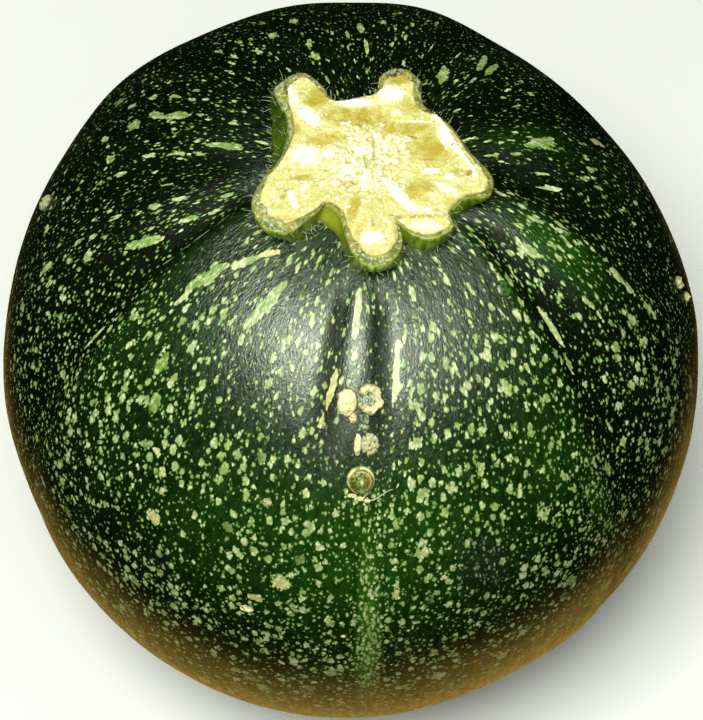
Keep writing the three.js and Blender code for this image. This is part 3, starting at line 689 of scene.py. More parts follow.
def makeSkin():
    grid = makeSkinGrid()
    points = globePoint(grid["azimuth"], grid["reach"], grid["height"])
    base = makeObject("skinBase", points.tolist(), closedFaces(grid["rings"], fruit["sides"]))
    pattern, facing = patternPoint(grid["azimuth"], grid["arc"], grid["down"])
    values = {"azimuth": grid["azimuth"], "down": grid["down"], "pattern": pattern, "facing": facing,
              "outward": outwardAt(grid["azimuth"], grid["down"])}
    for name, onSkin in values.items():
        storeValues(base, name, onSkin)
    below = np.where(grid["down"] > 90, 1 - smoothstep(4.5, 8.5, grid["reach"]), 0)
    storeValues(base, "recess", fruit["footHollow"] * mm * below)

    # each kind of mark colours the skin where it is the deepest of them
    depths = {kind: markDepth(grid, spots[kind], streaks.get(kind, [])) for kind in spots}
    deepest = np.max(list(depths.values()), axis=0)
    mottled, golden, faint = [(depths[kind] >= deepest) * smoothstep(-0.9, -0.3, deepest)
                              for kind in ("mottled", "golden", "faint")]
    storeValues(base, "marks", np.stack([deepest, mottled, golden - faint], -1))

    higher = scatteredBelow["higherBehind"] * smoothstep(90, 180, np.abs(grid["azimuth"]))
    placedZone = 1 - smoothstep(scatteredBelow["from"], scatteredBelow["to"], grid["arc"] + higher)
    zones = {kind: zoneStrength(grid, toneZones[kind]) for kind in toneZones}
    drift = driftAt(grid["down"])
    # painted light on the lobe in front, joined to the greener zones
    left, right = [edge["onFlank"] + (edge["atStem"] - edge["onFlank"]) * drift
                   for edge in (paintedLightFrontLobe["left"], paintedLightFrontLobe["right"])]
    within = smoothstep(0, paintedLightFrontLobe["soft"], grid["azimuth"] - left)
    within = within * smoothstep(0, paintedLightFrontLobe["soft"], right - grid["azimuth"])
    within = within * (1 - smoothstep(*paintedLightFrontLobe["fades"], grid["arc"]))
    zones["green"] = np.maximum(zones["green"], paintedLightFrontLobe["strength"] * within)
    behind = smoothstep(62, 105, np.abs(grid["azimuth"]))
    nearStem = (0.3 + 0.4 * behind) * (1 - smoothstep(16, 32, grid["arc"]))
    zones["sparse"] = np.maximum(zones["sparse"], np.maximum(nearStem, 0.52 * behind))
    storeValues(base, "tones", np.stack([zones["green"], zones["sparse"], 1 - placedZone], -1))
    shoulder = 1 - smoothstep(26, 70, grid["arc"])
    storeValues(base, "wear", np.stack([zones["scuffed"], zones["crowded"], 0.25 + 0.75 * shoulder], -1))

    settings = {"Furrow Depth": 1.0, "Wrinkle Height": fruit["wrinkleHeight"],
                "Wrinkle Width": fruit["wrinkleWidth"], "Uneven Height": fruit["unevenHeight"],
                "Uneven Width": fruit["unevenWidth"], "Skin": waxySquashRind()}
    skin = growWithNodes(base, ribbedSkinTree(), settings, "zucchini_skin")
    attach(skin, "root")
    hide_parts("fruit_body")
    print("skin:", len(skin.data.polygons), "faces")
    return skin


skin = makeSkin()
skinTree = BVHTree.FromPolygons([v.co for v in skin.data.vertices],
                                [tuple(p.vertices) for p in skin.data.polygons])


# place, outward direction and the two directions along the skin at an azimuth and arc
def skinSpot(azimuth, arc):
    down = float(downAt(arc))
    reach, height = globeProfile(np.array(down))
    start = Vector(globePoint(azimuth, float(reach), float(height)))
    outward = Vector(outwardAt(azimuth, down))
    clear = 0.02  # metres outside the skin
    point, normal, _, _ = skinTree.ray_cast(start + outward * clear, -outward)
    around = Vector((math.cos(math.radians(azimuth)), math.sin(math.radians(azimuth)), 0))
    downhill = around.cross(normal).normalized()
    return point, normal, downhill.cross(normal) * -1, downhill


# the cut stem, seen from above with the front at -y; its rings repeat the CAD part's
stem = {
    "cutHeight": 115.8,
    "rimDrop": 0.45,
    "rootRadius": 15.5,
    "notchFill": 0.28,
    "lobeTuck": 0.8,
    "wallBulge": 0.35,
    "leftBulge": 3.0,  # the wall swells out between the two left-hand lobes
    "leftTurn": 147,
    "leftSpread": 22,
    "rootDepth": 0.8,
    "sides": 480,
    "faceRings": 64,
    "wallRings": 18,
    "fuzzMiddle": (-0.4, 1.0),
    "fuzzRadius": 6.8,
    "knifeStep": 0.8,
    # x, y and the width of the torn green rim there
    "outline": [
        (15.2, 2.2, 0.6), (11.5, 7.9, 0.5), (8.0, 10.9, 0.9), (7.5, 15.4, 1.3), (4.7, 17.5, 1.5),
        (1.8, 16.1, 1.3), (1.0, 12.9, 0.5), (-1.6, 12.1, 0.5), (-5.1, 11.5, 0.4), (-7.3, 14.5, 0.8),
        (-9.9, 16.4, 1.0), (-13.6, 13.5, 1.5), (-12.6, 10.3, 0.9), (-11.2, 6.1, 0.3), (-12.9, 0.8, 0.5),
        (-15.2, -2.6, 0.7), (-16.6, -6.9, 1.3), (-14.9, -10.5, 2.0), (-11.5, -11.7, 1.4),
        (-7.7, -8.8, 0.4), (-5.9, -6.8, 0.2), (-4.0, -8.2, 0.3), (-3.1, -11.9, 0.7), (-1.8, -15.3, 1.3),
        (1.0, -17.2, 1.5), (3.7, -16.1, 1.3), (5.0, -12.7, 0.6), (4.4, -9.7, 0.2), (6.3, -11.5, 0.5),
        (9.5, -12.3, 0.8), (12.3, -10.3, 0.5), (11.9, -8.1, 0.2), (13.8, -5.6, 0.2), (17.4, -4.8, 0.5),
        (18.2, -2.2, 1.0)],
}

# parts of the cut face: x, y mm, half length, half width, turn in degrees, strength
faceZones = {
    # white crumbs, partly painted highlight for the wet flesh's sparkle
    "white": [
        (-8.9, 8.3, 2.5, 1.1, -52, 1.0), (-11.4, 12.2, 2.0, 0.7, -65, 0.7),
        (3.3, 12.3, 2.0, 1.4, 0, 1.0), (4.1, 8.9, 0.8, 0.6, 0, 0.6), (-2.0, 10.7, 2.9, 0.8, 0, 1.0),
        (-0.8, 2.3, 1.2, 0.9, 0, 0.9), (-5.8, 1.8, 0.9, 0.7, 20, 0.9),
        (-9.4, 1.3, 2.4, 1.8, 0, 0.55), (4.4, -5.3, 3.4, 0.8, -53, 1.0),
        (11.8, -2.4, 0.8, 0.6, 0, 0.9), (9.2, -1.3, 1.4, 0.6, 5, 0.6),
        (0.7, -12.8, 1.8, 1.1, 0, 0.9), (-3.0, -1.3, 1.0, 0.8, 0, 0.7),
        (-0.4, -3.0, 1.7, 0.6, 85, 0.8), (-4.7, -3.5, 0.6, 0.5, 0, 0.8),
        (-10.8, -6.4, 1.9, 0.6, -70, 0.7), (-9.0, -4.2, 1.0, 0.6, 60, 0.6),
        (7.8, -7.9, 1.6, 0.5, -15, 0.6), (11.4, -4.4, 1.6, 0.8, -30, 0.5),
        (8.5, -10.2, 2.6, 0.9, 0, 0.5), (11.2, 4.4, 2.6, 0.8, -64, 0.7),
        (6.6, 7.5, 2.6, 0.22, -4, 0.9), (-3.2, 6.9, 0.7, 0.3, 20, 0.6),
    ],
    "ochre": [
        (-1.6, 8.4, 5.0, 2.1, 0, 1.0), (-7.3, 12.0, 3.2, 1.6, 65, 1.0),
        (-6.4, 4.2, 3.2, 1.1, 8, 0.9), (5.6, 6.4, 4.2, 1.5, 0, 0.85),
        (9.2, 2.8, 3.2, 2.8, -20, 1.1), (4.7, 15.4, 2.0, 1.3, 0, 1.0),
        (6.3, 10.4, 1.6, 1.5, 0, 0.8), (7.4, -4.0, 2.4, 1.8, 60, 0.8),
        (-9.8, -2.4, 1.9, 0.5, 15, 0.7), (-1.9, -7.6, 2.8, 0.9, 80, 0.7),
        (-1.2, -11.3, 1.7, 0.7, 80, 0.6), (13.0, -1.2, 1.2, 0.5, 0, 0.5),
        (-11.9, -9.6, 1.8, 0.7, 0, 0.7), (-2.6, -3.6, 1.0, 0.8, 0, 0.6),
        (-10.6, 6.2, 1.2, 0.6, 70, 0.7), (-4.6, -5.4, 1.2, 0.5, 30, 0.5),
        (12.0, -6.6, 1.0, 1.0, 0, 0.4),
    ],
    "brown": [
        (6.5, 4.7, 0.8, 0.14, -22, 1.0), (14.7, -1.6, 0.7, 0.45, 80, 0.7),
        (-1.4, 6.7, 0.5, 0.35, 0, 0.5), (-11.6, -4.9, 1.2, 0.2, 22, 0.5),
        (-12.2, -6.0, 0.5, 0.4, 0, 0.45), (12.3, 3.3, 0.35, 0.1, 20, 0.9),
        (-9.9, 12.3, 0.5, 0.25, 0, 0.5), (2.3, -1.9, 0.6, 0.2, -70, 0.45),
        (0.8, -10.4, 0.7, 0.3, 90, 0.5), (-10.0, 9.4, 0.6, 0.25, 0, 0.4),
        (-7.9, -2.6, 0.5, 0.15, 0, 0.3),
    ],
}

# x and y along the ridge of peel, and along the knife's edge
peelRidge = [(9.8, 8.7), (11.4, 6.2), (12.7, 3.2), (14.4, 0.6), (15.8, -2.2)]
knifeLine = [(3.0, -8.95), (7.5, -8.85), (12.0, -8.7)]


# an even closed curve through the corners, as the CAD part draws it
def smoothLoop(corners, count):
    here = np.array(corners, dtype=float)
    before, after, beyond = np.roll(here, 1, 0), np.roll(here, -1, 0), np.roll(here, -2, 0)
    gap = np.linalg.norm((after - here)[:, :2], axis=1)[:, None] ** 0.5
    gapBefore, gapAfter = np.roll(gap, 1, 0), np.roll(gap, -1, 0)
    leave = (here - before) / gapBefore - (after - before) / (gapBefore + gap) + (after - here) / gap
    arrive = (after - here) / gap - (beyond - here) / (gap + gapAfter) + (beyond - after) / gapAfter
    leave, arrive = leave * gap, arrive * gap
    t = np.linspace(0, 1, 24, endpoint=False)[None, :, None]
    start, end, leave, arrive = here[:, None], after[:, None], leave[:, None], arrive[:, None]
    curve = (start + leave * t + (3 * (end - start) - 2 * leave - arrive) * t ** 2
             + (2 * (start - end) + leave + arrive) * t ** 3).reshape(-1, here.shape[1])
    closed = np.vstack([curve, curve[:1]])
    run = np.concatenate([[0], np.cumsum(np.linalg.norm(np.diff(closed[:, :2], axis=0), axis=1))])
    even = np.linspace(0, run[-1], count, endpoint=False)
    return np.stack([np.interp(even, run, column) for column in closed.T], -1)


def distanceToPath(places, path):
    nearest = np.full(len(places), 1e3)
    for start, end in zip(path[:-1], path[1:]):
        start, end = np.array(start), np.array(end)
        along = end - start
        part = np.clip((places - start) @ along / (along @ along), 0, 1)
        nearest = np.minimum(nearest, np.linalg.norm(places - start - part[:, None] * along, axis=1))
    return nearest


def zoneOnFace(places, zones):
    total = np.zeros(len(places))
    for x, y, halfLength, halfWidth, turn, strength in zones:
        angle = math.radians(turn)
        away = places - np.array([x, y])
        along = (away[:, 0] * math.cos(angle) + away[:, 1] * math.sin(angle)) / halfLength
        across = (away[:, 1] * math.cos(angle) - away[:, 0] * math.sin(angle)) / halfWidth
        total = np.maximum(total, strength * (1 - smoothstep(0.45, 1.35, np.hypot(along, across))))
    return total


def noiseAt(places, size, shift=0.0):
    return np.array([noise.noise((x / size + shift, y / size, z / size)) for x, y, z in places.tolist()])


# cut squash stem: wet pale flesh, crumbly with torn fibres in the middle and smooth where the
# knife slid, so it is bright, mottled yellow and slightly moist, with a torn green rim
def cutStemFlesh():
    material, add, place, fibre, zones, border = startMaterial(
        "cutStemFlesh", "place", "fibre", "zones", "border")
    white, ochre, brown = add("SeparateXYZ", zones).outputs
    rim, cracksAndKnifeShadow, backDark = add("SeparateXYZ", border).outputs
    fuzz = add("Attribute", attribute_name="fuzz").outputs["Fac"]
    grain = add("TexNoise", place, 1 / 0.42, 3.0, 0.6)
    strands = add("TexNoise", fibre, 1.0, 3.0, 0.6)
    clumps = add("TexNoise", place, 1 / 1.7, 2.0)
    tufts = add("TexNoise", place, 1 / 0.8, 2.0, Distortion=1.2)
    shaken = add("VectorMath MULTIPLY_ADD", grain.outputs["Color"], (0.7, 0.7, 0.7), place)
    crumbs = add("TexVoronoi", shaken, 1 / 0.6)

    # golden where the flesh is smooth and wet, or between strands
    gold = add("Math ADD", strands, clumps)
    for part, weight in ((grain, 0.7), (ochre, 0.42), (white, -0.5)):
        gold = add("Math MULTIPLY_ADD", part, weight, gold)
    gold = add("MapRange SMOOTHSTEP", gold, 1.2, 2.0)
    # dry white crumbs and torn fibre ends, whose bright white is also painted highlight for the moist
    # flesh's sparkle
    pale = add("Math MULTIPLY_ADD", crumbs, -0.35, 0.15)
    for part, weight in ((grain, 0.7), (tufts, 0.8), (strands, 0.3), (white, 0.5), (fuzz, 0.12),
                         (ochre, -0.2)):
        pale = add("Math MULTIPLY_ADD", part, weight, pale)
    pale = add("MapRange SMOOTHSTEP", pale, 0.86, 1.16)
    deep = add("Math MULTIPLY", add("MapRange", crumbs, 0.5, 0.85, 0.0, 0.35), fuzz)
    flesh = add("Mix RGBA", gold, "#d4cc7c", "#b09e34")
    for amount, tint in ((pale, "#f4f2dc"), (deep, "#b0952e"), (brown, "#6d4a1a")):
        flesh = add("Mix RGBA", amount, flesh, tint)

    # the rim: torn green skin with a dry whitish crust, darker on the lobes at the back
    crust = add("Math MULTIPLY_ADD", tufts, 0.8, grain)
    crust = add("MapRange SMOOTHSTEP", crust, 0.84, 1.16)
    olive = add("MapRange SMOOTHSTEP", clumps, 0.3, 0.62)
    green = add("Mix RGBA", olive, add("Mix RGBA", backDark, "#56682a", "#1c2807"), "#93923a")
    crusted = add("Mix RGBA", crust, green, "#c5c9a4")
    torn = add("Math ADD", rim, add("Math MULTIPLY_ADD", tufts, 1.1, -0.55))
    torn = add("MapRange SMOOTHSTEP", torn, 0.3, 0.72)
    # the dark lines: painted shadow along the knife's step, and a line along the rim's inner edge
    color = add("Mix RGBA", cracksAndKnifeShadow, add("Mix RGBA", torn, flesh, crusted), "#4a3d12")
    moist = add("MapRange", grain, 0.35, 0.65, 0.34, 0.62)
    relief = add("Math ADD", grain, strands)
    bump = add("Bump", Strength=0.8, Distance=0.00025, Height=relief)
    return finishMaterial(material, add, color, {
        "Roughness": moist, "IOR": 1.38, "Specular IOR Level": 0.5, "Normal": bump})


# squash stem rind: smooth taut green skin with fine upright lines and pale breathing pores
def stemRind():
    material, add, place, border = startMaterial("stemRind", "place", "border")
    hollow, low, lipped = add("SeparateXYZ", border).outputs
    lines = add("TexNoise", add("VectorMath MULTIPLY", place, (1.0, 1.0, 0.25)), 1 / 0.8, 3.0)
    tint = add("MapRange SMOOTHSTEP", lines, 0.35, 0.65)
    pore = add("MapRange", add("TexVoronoi", place, 1 / 0.7), 0.18, 0.08, 0.0, 0.35)
    lip = add("Math MULTIPLY", lipped, tint)
    color = add("Mix RGBA", tint, "#466a0a", "#86a41e")
    # paler and yellower in the hollows between lobes; painted shade darkens the wall towards its root,
    # where it meets the skin, and on its back left
    for amount, tone in ((hollow, "#949a26"), (low, "#1c3004"), (pore, "#ccd390"), (lip, "#c9cb9a")):
        color = add("Mix RGBA", amount, color, tone)
    bump = add("Bump", Strength=0.6, Distance=0.00015, Height=lines)
    return finishMaterial(material, add, color, {
        "Roughness": 0.36, "IOR": 1.45, "Specular IOR Level": 0.5, "Normal": bump})


# the cut face, ring by ring from its middle to the outline, with what its flesh is like
def makeStemFace(outline, rimAround):
    rings = stem["faceRings"]
    scales = (np.arange(rings) + 1) / rings
    places = np.vstack([[[0.0, 0.0]], (scales[:, None, None] * outline).reshape(-1, 2)])
    flat = np.column_stack([places, np.zeros(len(places))])
    # how far each corner is inside the outline, measured a batch at a time
    inside, nearestSide = np.zeros(len(places)), np.zeros(len(places), dtype=int)
    batch = 2000
    for start in range(0, len(places), batch):
        gaps = np.linalg.norm(places[start:start + batch, None] - outline[None], axis=2)
        inside[start:start + batch] = gaps.min(1)
        nearestSide[start:start + batch] = gaps.argmin(1)
    rimWidth = rimAround[nearestSide] * (1 + 0.3 * noiseAt(flat, 1.6, 7.0))
    zones = {kind: zoneOnFace(places, faceZones[kind]) for kind in faceZones}
    white, ochre, brown = zones["white"], zones["ochre"], zones["brown"]
    away = np.linalg.norm(places - np.array(stem["fuzzMiddle"]), axis=1) + 1.6 * noiseAt(flat, 2.4, 3.0)
    fuzzy = 1 - smoothstep(stem["fuzzRadius"] - 2, stem["fuzzRadius"] + 1.5, away)
    # fibres run out from the middle
    turn = np.arctan2(places[:, 1], places[:, 0])
    fibre = np.column_stack([9 * np.cos(turn), 9 * np.sin(turn), np.linalg.norm(places, axis=1) / 3])
    fibre[0] = 0
    strands = noiseAt(fibre, 1.0)
    coarse, crumbs, grain = noiseAt(flat, 5.5, 1.0), noiseAt(flat, 0.95, 5.0), noiseAt(flat, 0.45, 9.0)
    smooth = 0.16 * strands + 0.22 * np.abs(crumbs) + 0.06 * grain
    lift = 0.34 * coarse + fuzzy * (0.75 * np.abs(crumbs) + 0.22 * grain - 0.1)
    lift += (1 - fuzzy) * (1 - 0.7 * ochre) * smooth
    lift += 0.18 * white - 0.12 * ochre - 0.2 * brown
    peel = 1 - smoothstep(0.15, 0.5, distanceToPath(places, peelRidge))
    knife = distanceToPath(places, knifeLine)
    lift += 0.4 * peel
    stepped = smoothstep(-8.7, -8.95, places[:, 1]) * smoothstep(3.6, 4.8, places[:, 0])
    lift -= stem["knifeStep"] * stepped
    # the torn rim slopes off to the outline, a little below the tongue of flesh inside it
    rimShare = 1 - smoothstep(-0.12, 0.12, inside - rimWidth)
    slope = np.clip(1 - inside / np.maximum(rimWidth, 0.5), 0, 1) ** 1.5
    lift = lift * (1 - slope) - rimShare * (0.2 - 0.3 * np.abs(noiseAt(flat, 0.7, 2.0)))
    height = stem["cutHeight"] - 0.15 + lift - stem["rimDrop"] * slope

    backDark = smoothstep(-4, 6, places[:, 1]) * 0.9 + 0.1 * smoothstep(0.3, -0.2, coarse)
    # painted shadow: a thin dark line along the knife's step, where the face drops, stronger towards its
    # left end; and a fainter dark line along the rim's inner edge
    cracksAndKnifeShadow = (1 - smoothstep(0.02, 0.12, knife)) * (0.4 + 0.5 * smoothstep(6.5, 3.5, places[:, 0]))
    cracksAndKnifeShadow = np.maximum(cracksAndKnifeShadow, 0.35 * (1 - smoothstep(0.04, 0.14, np.abs(inside - rimWidth))) * rimShare)
    values = {
        "fibre": fibre,
        "zones": np.column_stack([white + 0.7 * peel, ochre, brown]),
        "fuzz": fuzzy,
        "border": np.column_stack([rimShare, cracksAndKnifeShadow, backDark]),
    }
    return np.column_stack([places, height]), values


# the wall swells out under the rim, fills the notches and tucks in at its root
def makeStemWall(outline, edgeHeight):
    sides, rings = stem["sides"], stem["wallRings"]
    reach = np.linalg.norm(outline, axis=1)
    unit = outline / reach[:, None]
    turn = np.degrees(np.arctan2(outline[:, 1], outline[:, 0]))
    target = np.where(reach > stem["rootRadius"], stem["lobeTuck"], stem["notchFill"])
    hollow = smoothstep(14.5, 9.0, reach)
    swellLeft = stem["leftBulge"] * bellCurve(turnBetween(turn, stem["leftTurn"]), stem["leftSpread"])
    leftShade = 0.85 * bellCurve(turnBetween(turn, 145), 50)
    wall, border = [], []
    for part in (np.arange(rings) + 1) / rings:
        fill = target * smoothstep(0.1, 1.0, part)
        bulge = math.sin(math.pi * part ** 0.6)
        ringReach = reach + (stem["rootRadius"] - reach) * fill + stem["wallBulge"] * bulge
        ringReach += swellLeft * min(1, 2.2 * part)
        skinTurn = (ringReach / fruit["globeRadius"]) ** (fruit["shoulderFullness"] / 2)
        _, crown = globeProfile(np.degrees(np.arcsin(skinTurn)))
        root = crown - stem["rootDepth"]
        ring = np.column_stack([unit * ringReach[:, None], edgeHeight + (root - edgeHeight) * part])
        ring[:, :2] += unit * (0.22 * noiseAt(ring, 3.4) + 0.04 * noiseAt(ring, 0.9, 4.0))[:, None]
        wall.append(ring)
        # painted shade: darker down to the root and round the back left
        low = np.maximum(0.8 * smoothstep(0.45, 1.0, part), leftShade)
        lip = np.full(sides, 0.8 * (1 - smoothstep(0.02, 0.1, part)))
        border.append(np.column_stack([hollow * 0.8, low, lip]))
    return np.vstack(wall), np.vstack(border)


def makeStem():
    sides = stem["sides"]
    loop = smoothLoop(stem["outline"], sides)
    face, values = makeStemFace(loop[:, :2], np.maximum(loop[:, 2], 0.15))
    wall, wallBorder = makeStemWall(loop[:, :2], face[-sides:, 2])
    buried = wall[-sides:] * (0.5, 0.5, 1.0)
    points = np.vstack([face, wall, buried, [[0, 0, buried[:, 2].mean()]]])
    faces = closedFaces(stem["faceRings"] + stem["wallRings"] + 1, sides)
    piece = makeObject("cut_stem_stub", (points * mm).tolist(), faces)
    piece.data.materials.append(cutStemFlesh())
    piece.data.materials.append(stemRind())
    onWall = np.arange(len(faces)) >= sides * stem["faceRings"]
    piece.data.polygons.foreach_set("material_index", onWall.astype(np.int32))

    storeValues(piece, "place", points)
    values["border"] = np.vstack([values["border"], wallBorder])
    for name, onPiece in values.items():
        spare = np.zeros((len(points) - len(onPiece), *onPiece.shape[1:]))
        storeValues(piece, name, np.concatenate([onPiece, spare]))
    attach(piece, "root")
    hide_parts("stem_stub")
    print("stem:", len(piece.data.polygons), "faces")
    return wall.reshape(stem["wallRings"], sides, 3)


wallRows = makeStem()


# marks raised on the skin: azimuth, arc, half width and half length mm, height mm, and how
# grey, how golden and how grainy each is
scabs = {
    "rusty_spot_upper": (-13.0, 41.0, 0.32, 0.3, 0.2, 0.0, 1.4, 0.1),
    "rusty_spot_lower": (-18.5, 52.0, 0.36, 0.3, 0.2, 0.0, 1.4, 0.1),
    "healed_scar_left": (-3.6, 35.2, 1.55, 2.15, 0.95, 0.0, 0.3, 0.12),
    "healed_scar_tail": (-2.0, 37.4, 0.6, 0.9, 0.40, 0.1, 0.9, 0.12),
    "healed_scar_wrinkles": (0.8, 38.2, 0.85, 1.5, 0.26, 0.95, 0.1, 0.14),
    "healed_scar_ridge": (-0.6, 41.3, 0.6, 1.8, 0.62, 0.0, 0.45, 0.10),
    "healed_scar_crust": (1.9, 41.2, 1.5, 1.7, 0.34, 0.34, 0.55, 0.26),
    "sap_skirt": (0.3, 46.5, 2.5, 2.6, 0.14, 0.7, 0.8, 0.14),
    "healed_scar_lip_left": (-1.2, 48.9, 0.8, 0.36, 0.40, 0.15, 0.6, 0.30),
    "healed_scar_lip": (0.5, 49.3, 1.1, 0.42, 0.40, 0.1, 0.7, 0.34),
    "healed_scar_nub": (1.6, 49.7, 0.55, 0.42, 0.60, 0.0, 0.9, 0.14),
    "scab_flank_left": (-16.5, 52.0, 0.8, 0.75, 0.45, 0.4, 1.0, 0.25),
    "scab_flank_low": (-16.7, 72.3, 1.2, 0.75, 0.40, 0.2, 0.6, 0.30),
    "scab_star": (-1.6, 75.6, 0.45, 0.5, 0.22, 0.0, 0.0, 0.15),
    "scab_right_edge_upper": (88.0, 61.0, 1.1, 1.3, 0.70, 0.3, 0.9, 0.30),
    "scab_right_edge_lower": (87.5, 65.0, 0.9, 1.0, 0.60, 0.3, 0.9, 0.30),
    "scab_left_edge": (-103.0, 61.5, 1.4, 2.0, 0.80, 0.4, 0.5, 0.35),
    "scab_stem_foot": (14.5, 19.2, 0.35, 0.8, 0.30, 0.6, 0.2, 0.20),
}


# how far into the fruit the underside of a patch goes, mm
patchRoot = 0.6


# a small closed patch lying on the skin, raised by heightAt(x, y, share of the way to its edge)
def skinPatch(azimuth, arc, halfWidth, halfLength, heightAt, rings=14, sides=44, uneven=0.14):
    point, normal, across, downhill = skinSpot(azimuth, arc)
    share, turn = roundGrid(rings, sides)
    ragged = 1 + uneven * np.array(
        [noise.noise((3 * math.cos(angle), 3 * math.sin(angle), azimuth + arc)) for angle in turn])
    x = halfWidth * share * np.cos(turn) * ragged
    y = halfLength * share * np.sin(turn) * ragged
    height = heightAt(x, y, share)
    points = []
    for alongX, alongY, lift in zip(x.tolist(), y.tolist(), height.tolist()):
        start = point + (across * alongX + downhill * alongY + normal * 4) * mm
        hit, _, _, _ = skinTree.ray_cast(start, -normal)
        points.append(hit + normal * lift * mm)
    points.append(point - normal * patchRoot * mm)
    places = np.vstack([np.column_stack([x, y, height]), [[0, 0, -patchRoot]]])
    faces = closedFaces(rings, sides, flipped=True)
    return [tuple(p) for p in points], faces, places, np.append(share, 1)


# healed scar tissue: dried callus, corky and crumbly, so it is matt, cream to tan and uneven
def corkyCallus():
    material, add, place, tone = startMaterial("corkyCallus", "place", "tone")
    grey, golden, share = add("SeparateXYZ", tone).outputs
    grain = add("TexNoise", place, 1 / 0.45, 3.0, 0.6)
    patches = add("TexNoise", place, 1 / 1.1, 2.0)
    light = add("MapRange SMOOTHSTEP", grain, 0.4, 0.62)
    gilt = add("Math ADD", add("Math MULTIPLY_ADD", golden, 0.5, -0.26), patches)
    gilt = add("MapRange SMOOTHSTEP", gilt, 0.4, 0.68)
    ashen = add("MapRange SMOOTHSTEP", add("Math ADD", grey, grain), 0.6, 1.05)
    ash = add("Mix RGBA", light, "#3c4a2a", "#a6b08c")
    # a dark outline round each patch's foot: its own dark edge, with painted shade where it rises from
    # the skin
    outline = add("MapRange", share, 0.84, 0.97, 0.0, 0.85)
    color = add("Mix RGBA", light, "#d6cc88", "#f0eec8")
    for amount, tint in ((gilt, "#bba652"), (ashen, ash), (outline, "#1a210c")):
        color = add("Mix RGBA", amount, color, tint)
    bump = add("Bump", Strength=0.8, Distance=0.0002, Height=grain)
    return finishMaterial(material, add, color, {
        "Roughness": 0.55, "IOR": 1.45, "Specular IOR Level": 0.5, "Normal": bump})


# azimuth, arc, half width and half length mm, height mm, how far each opens to its left, and
# how grey it is
scarRings = {
    "healed_scar_ring": (1.8, 34.7, 2.05, 2.3, 0.8, 0.75, 0.0),
    "old_bite_ring": (16.7, 24.0, 1.0, 0.65, 0.3, 0.0, 0.8),
}

# smooth drops: azimuth, arc, half width and half length mm, height mm
beads = {
    "sap_bead_small": (0.9, 34.8, 0.78, 0.82, 0.7),
    "sap_bead_large": (0.3, 46.5, 2.1, 2.15, 1.25),
    "skin_blister": (49.8, 26.7, 1.25, 1.4, 0.55),
}

# each sap's colours: a dark inside with lit swirls, amber, and the painted highlights of its rim and
# glint
sapColors = {
    "amberSap": {"deep": "#33411a", "lit": "#a0a54a", "amber": "#8a7030", "rim": "#e8e69c",
                 "glint": "#c4e8a4"},
    "clearSap": {"deep": "#3d4b36", "lit": "#8e9c86", "amber": "#8e9c86", "rim": "#dfe3d2",
                 "glint": "#eef2e6"},
}


# hardened plant sap: smooth clear resin over green skin, so it is glossy and dark inside; the light
# gathered at its rim, its lighter inner swirls and a few glints are painted on as highlights
def hardenedSap(name):
    colors = sapColors[name]
    material, add, place, tone = startMaterial(name, "place", "tone")
    rim, amber, glint = add("SeparateXYZ", tone).outputs
    swirl = add("TexNoise", place, 1 / 0.55, 3.0, Distortion=1.0)
    color = add("Mix RGBA", add("MapRange SMOOTHSTEP", swirl, 0.42, 0.68), colors["deep"], colors["lit"])
    for amount, part in ((amber, "amber"), (rim, "rim"), (glint, "glint")):
        color = add("Mix RGBA", amount, color, colors[part])
    return finishMaterial(material, add, color, {
        "Roughness": 0.15, "IOR": 1.5, "Specular IOR Level": 0.18})


# blistered rind: the same green skin pushed up and stretched, so it is glossy, with a rusty
# healed edge
def blisteredRind():
    material, add, place, tone = startMaterial("blisteredRind", "place", "tone")
    cells = add("TexNoise", place, 1 / 0.6, 2.0)
    color = add("Mix RGBA", add("MapRange SMOOTHSTEP", cells, 0.4, 0.6), "#12300a", "#416a26")
    edge = add("Math MULTIPLY_ADD", cells, 0.4, add("SeparateXYZ", tone).outputs["Z"])
    color = add("Mix RGBA", add("MapRange SMOOTHSTEP", edge, 0.95, 1.15), color, "#45431c")
    return finishMaterial(material, add, color, {
        "Roughness": 0.3, "IOR": 1.46, "Specular IOR Level": 0.7})


# two sizes of crumb, in mm, on a patch
def gritAt(x, y, coarse, fine, coarseSeed, fineSeed):
    return np.array([noise.noise((a / coarse, b / coarse, coarseSeed))
                     + 0.5 * noise.noise((a / fine, b / fine, fineSeed)) for a, b in zip(x, y)])


def placePatch(name, patch, tone, material):
    points, faces, places, _ = patch
    piece = makeObject(name, points, faces, material)
    storeValues(piece, "place", places)
    storeValues(piece, "tone", tone)
    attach(piece, "root")


# how much of a ring is missing at a point, on its left
def openLeft(x, y, opening, across, along):
    return opening * smoothstep(0.0, -across, x / 2) * smoothstep(0.4, along, np.abs(y / 2))


def beadPatch(name, **shape):
    azimuth, arc, halfWidth, halfLength, height = beads[name]

    def dome(x, y, share):
        return height * np.sqrt(np.maximum(1 - share ** 2, 0)) - 0.05
    return skinPatch(azimuth, arc, halfWidth, halfLength, dome, **shape)


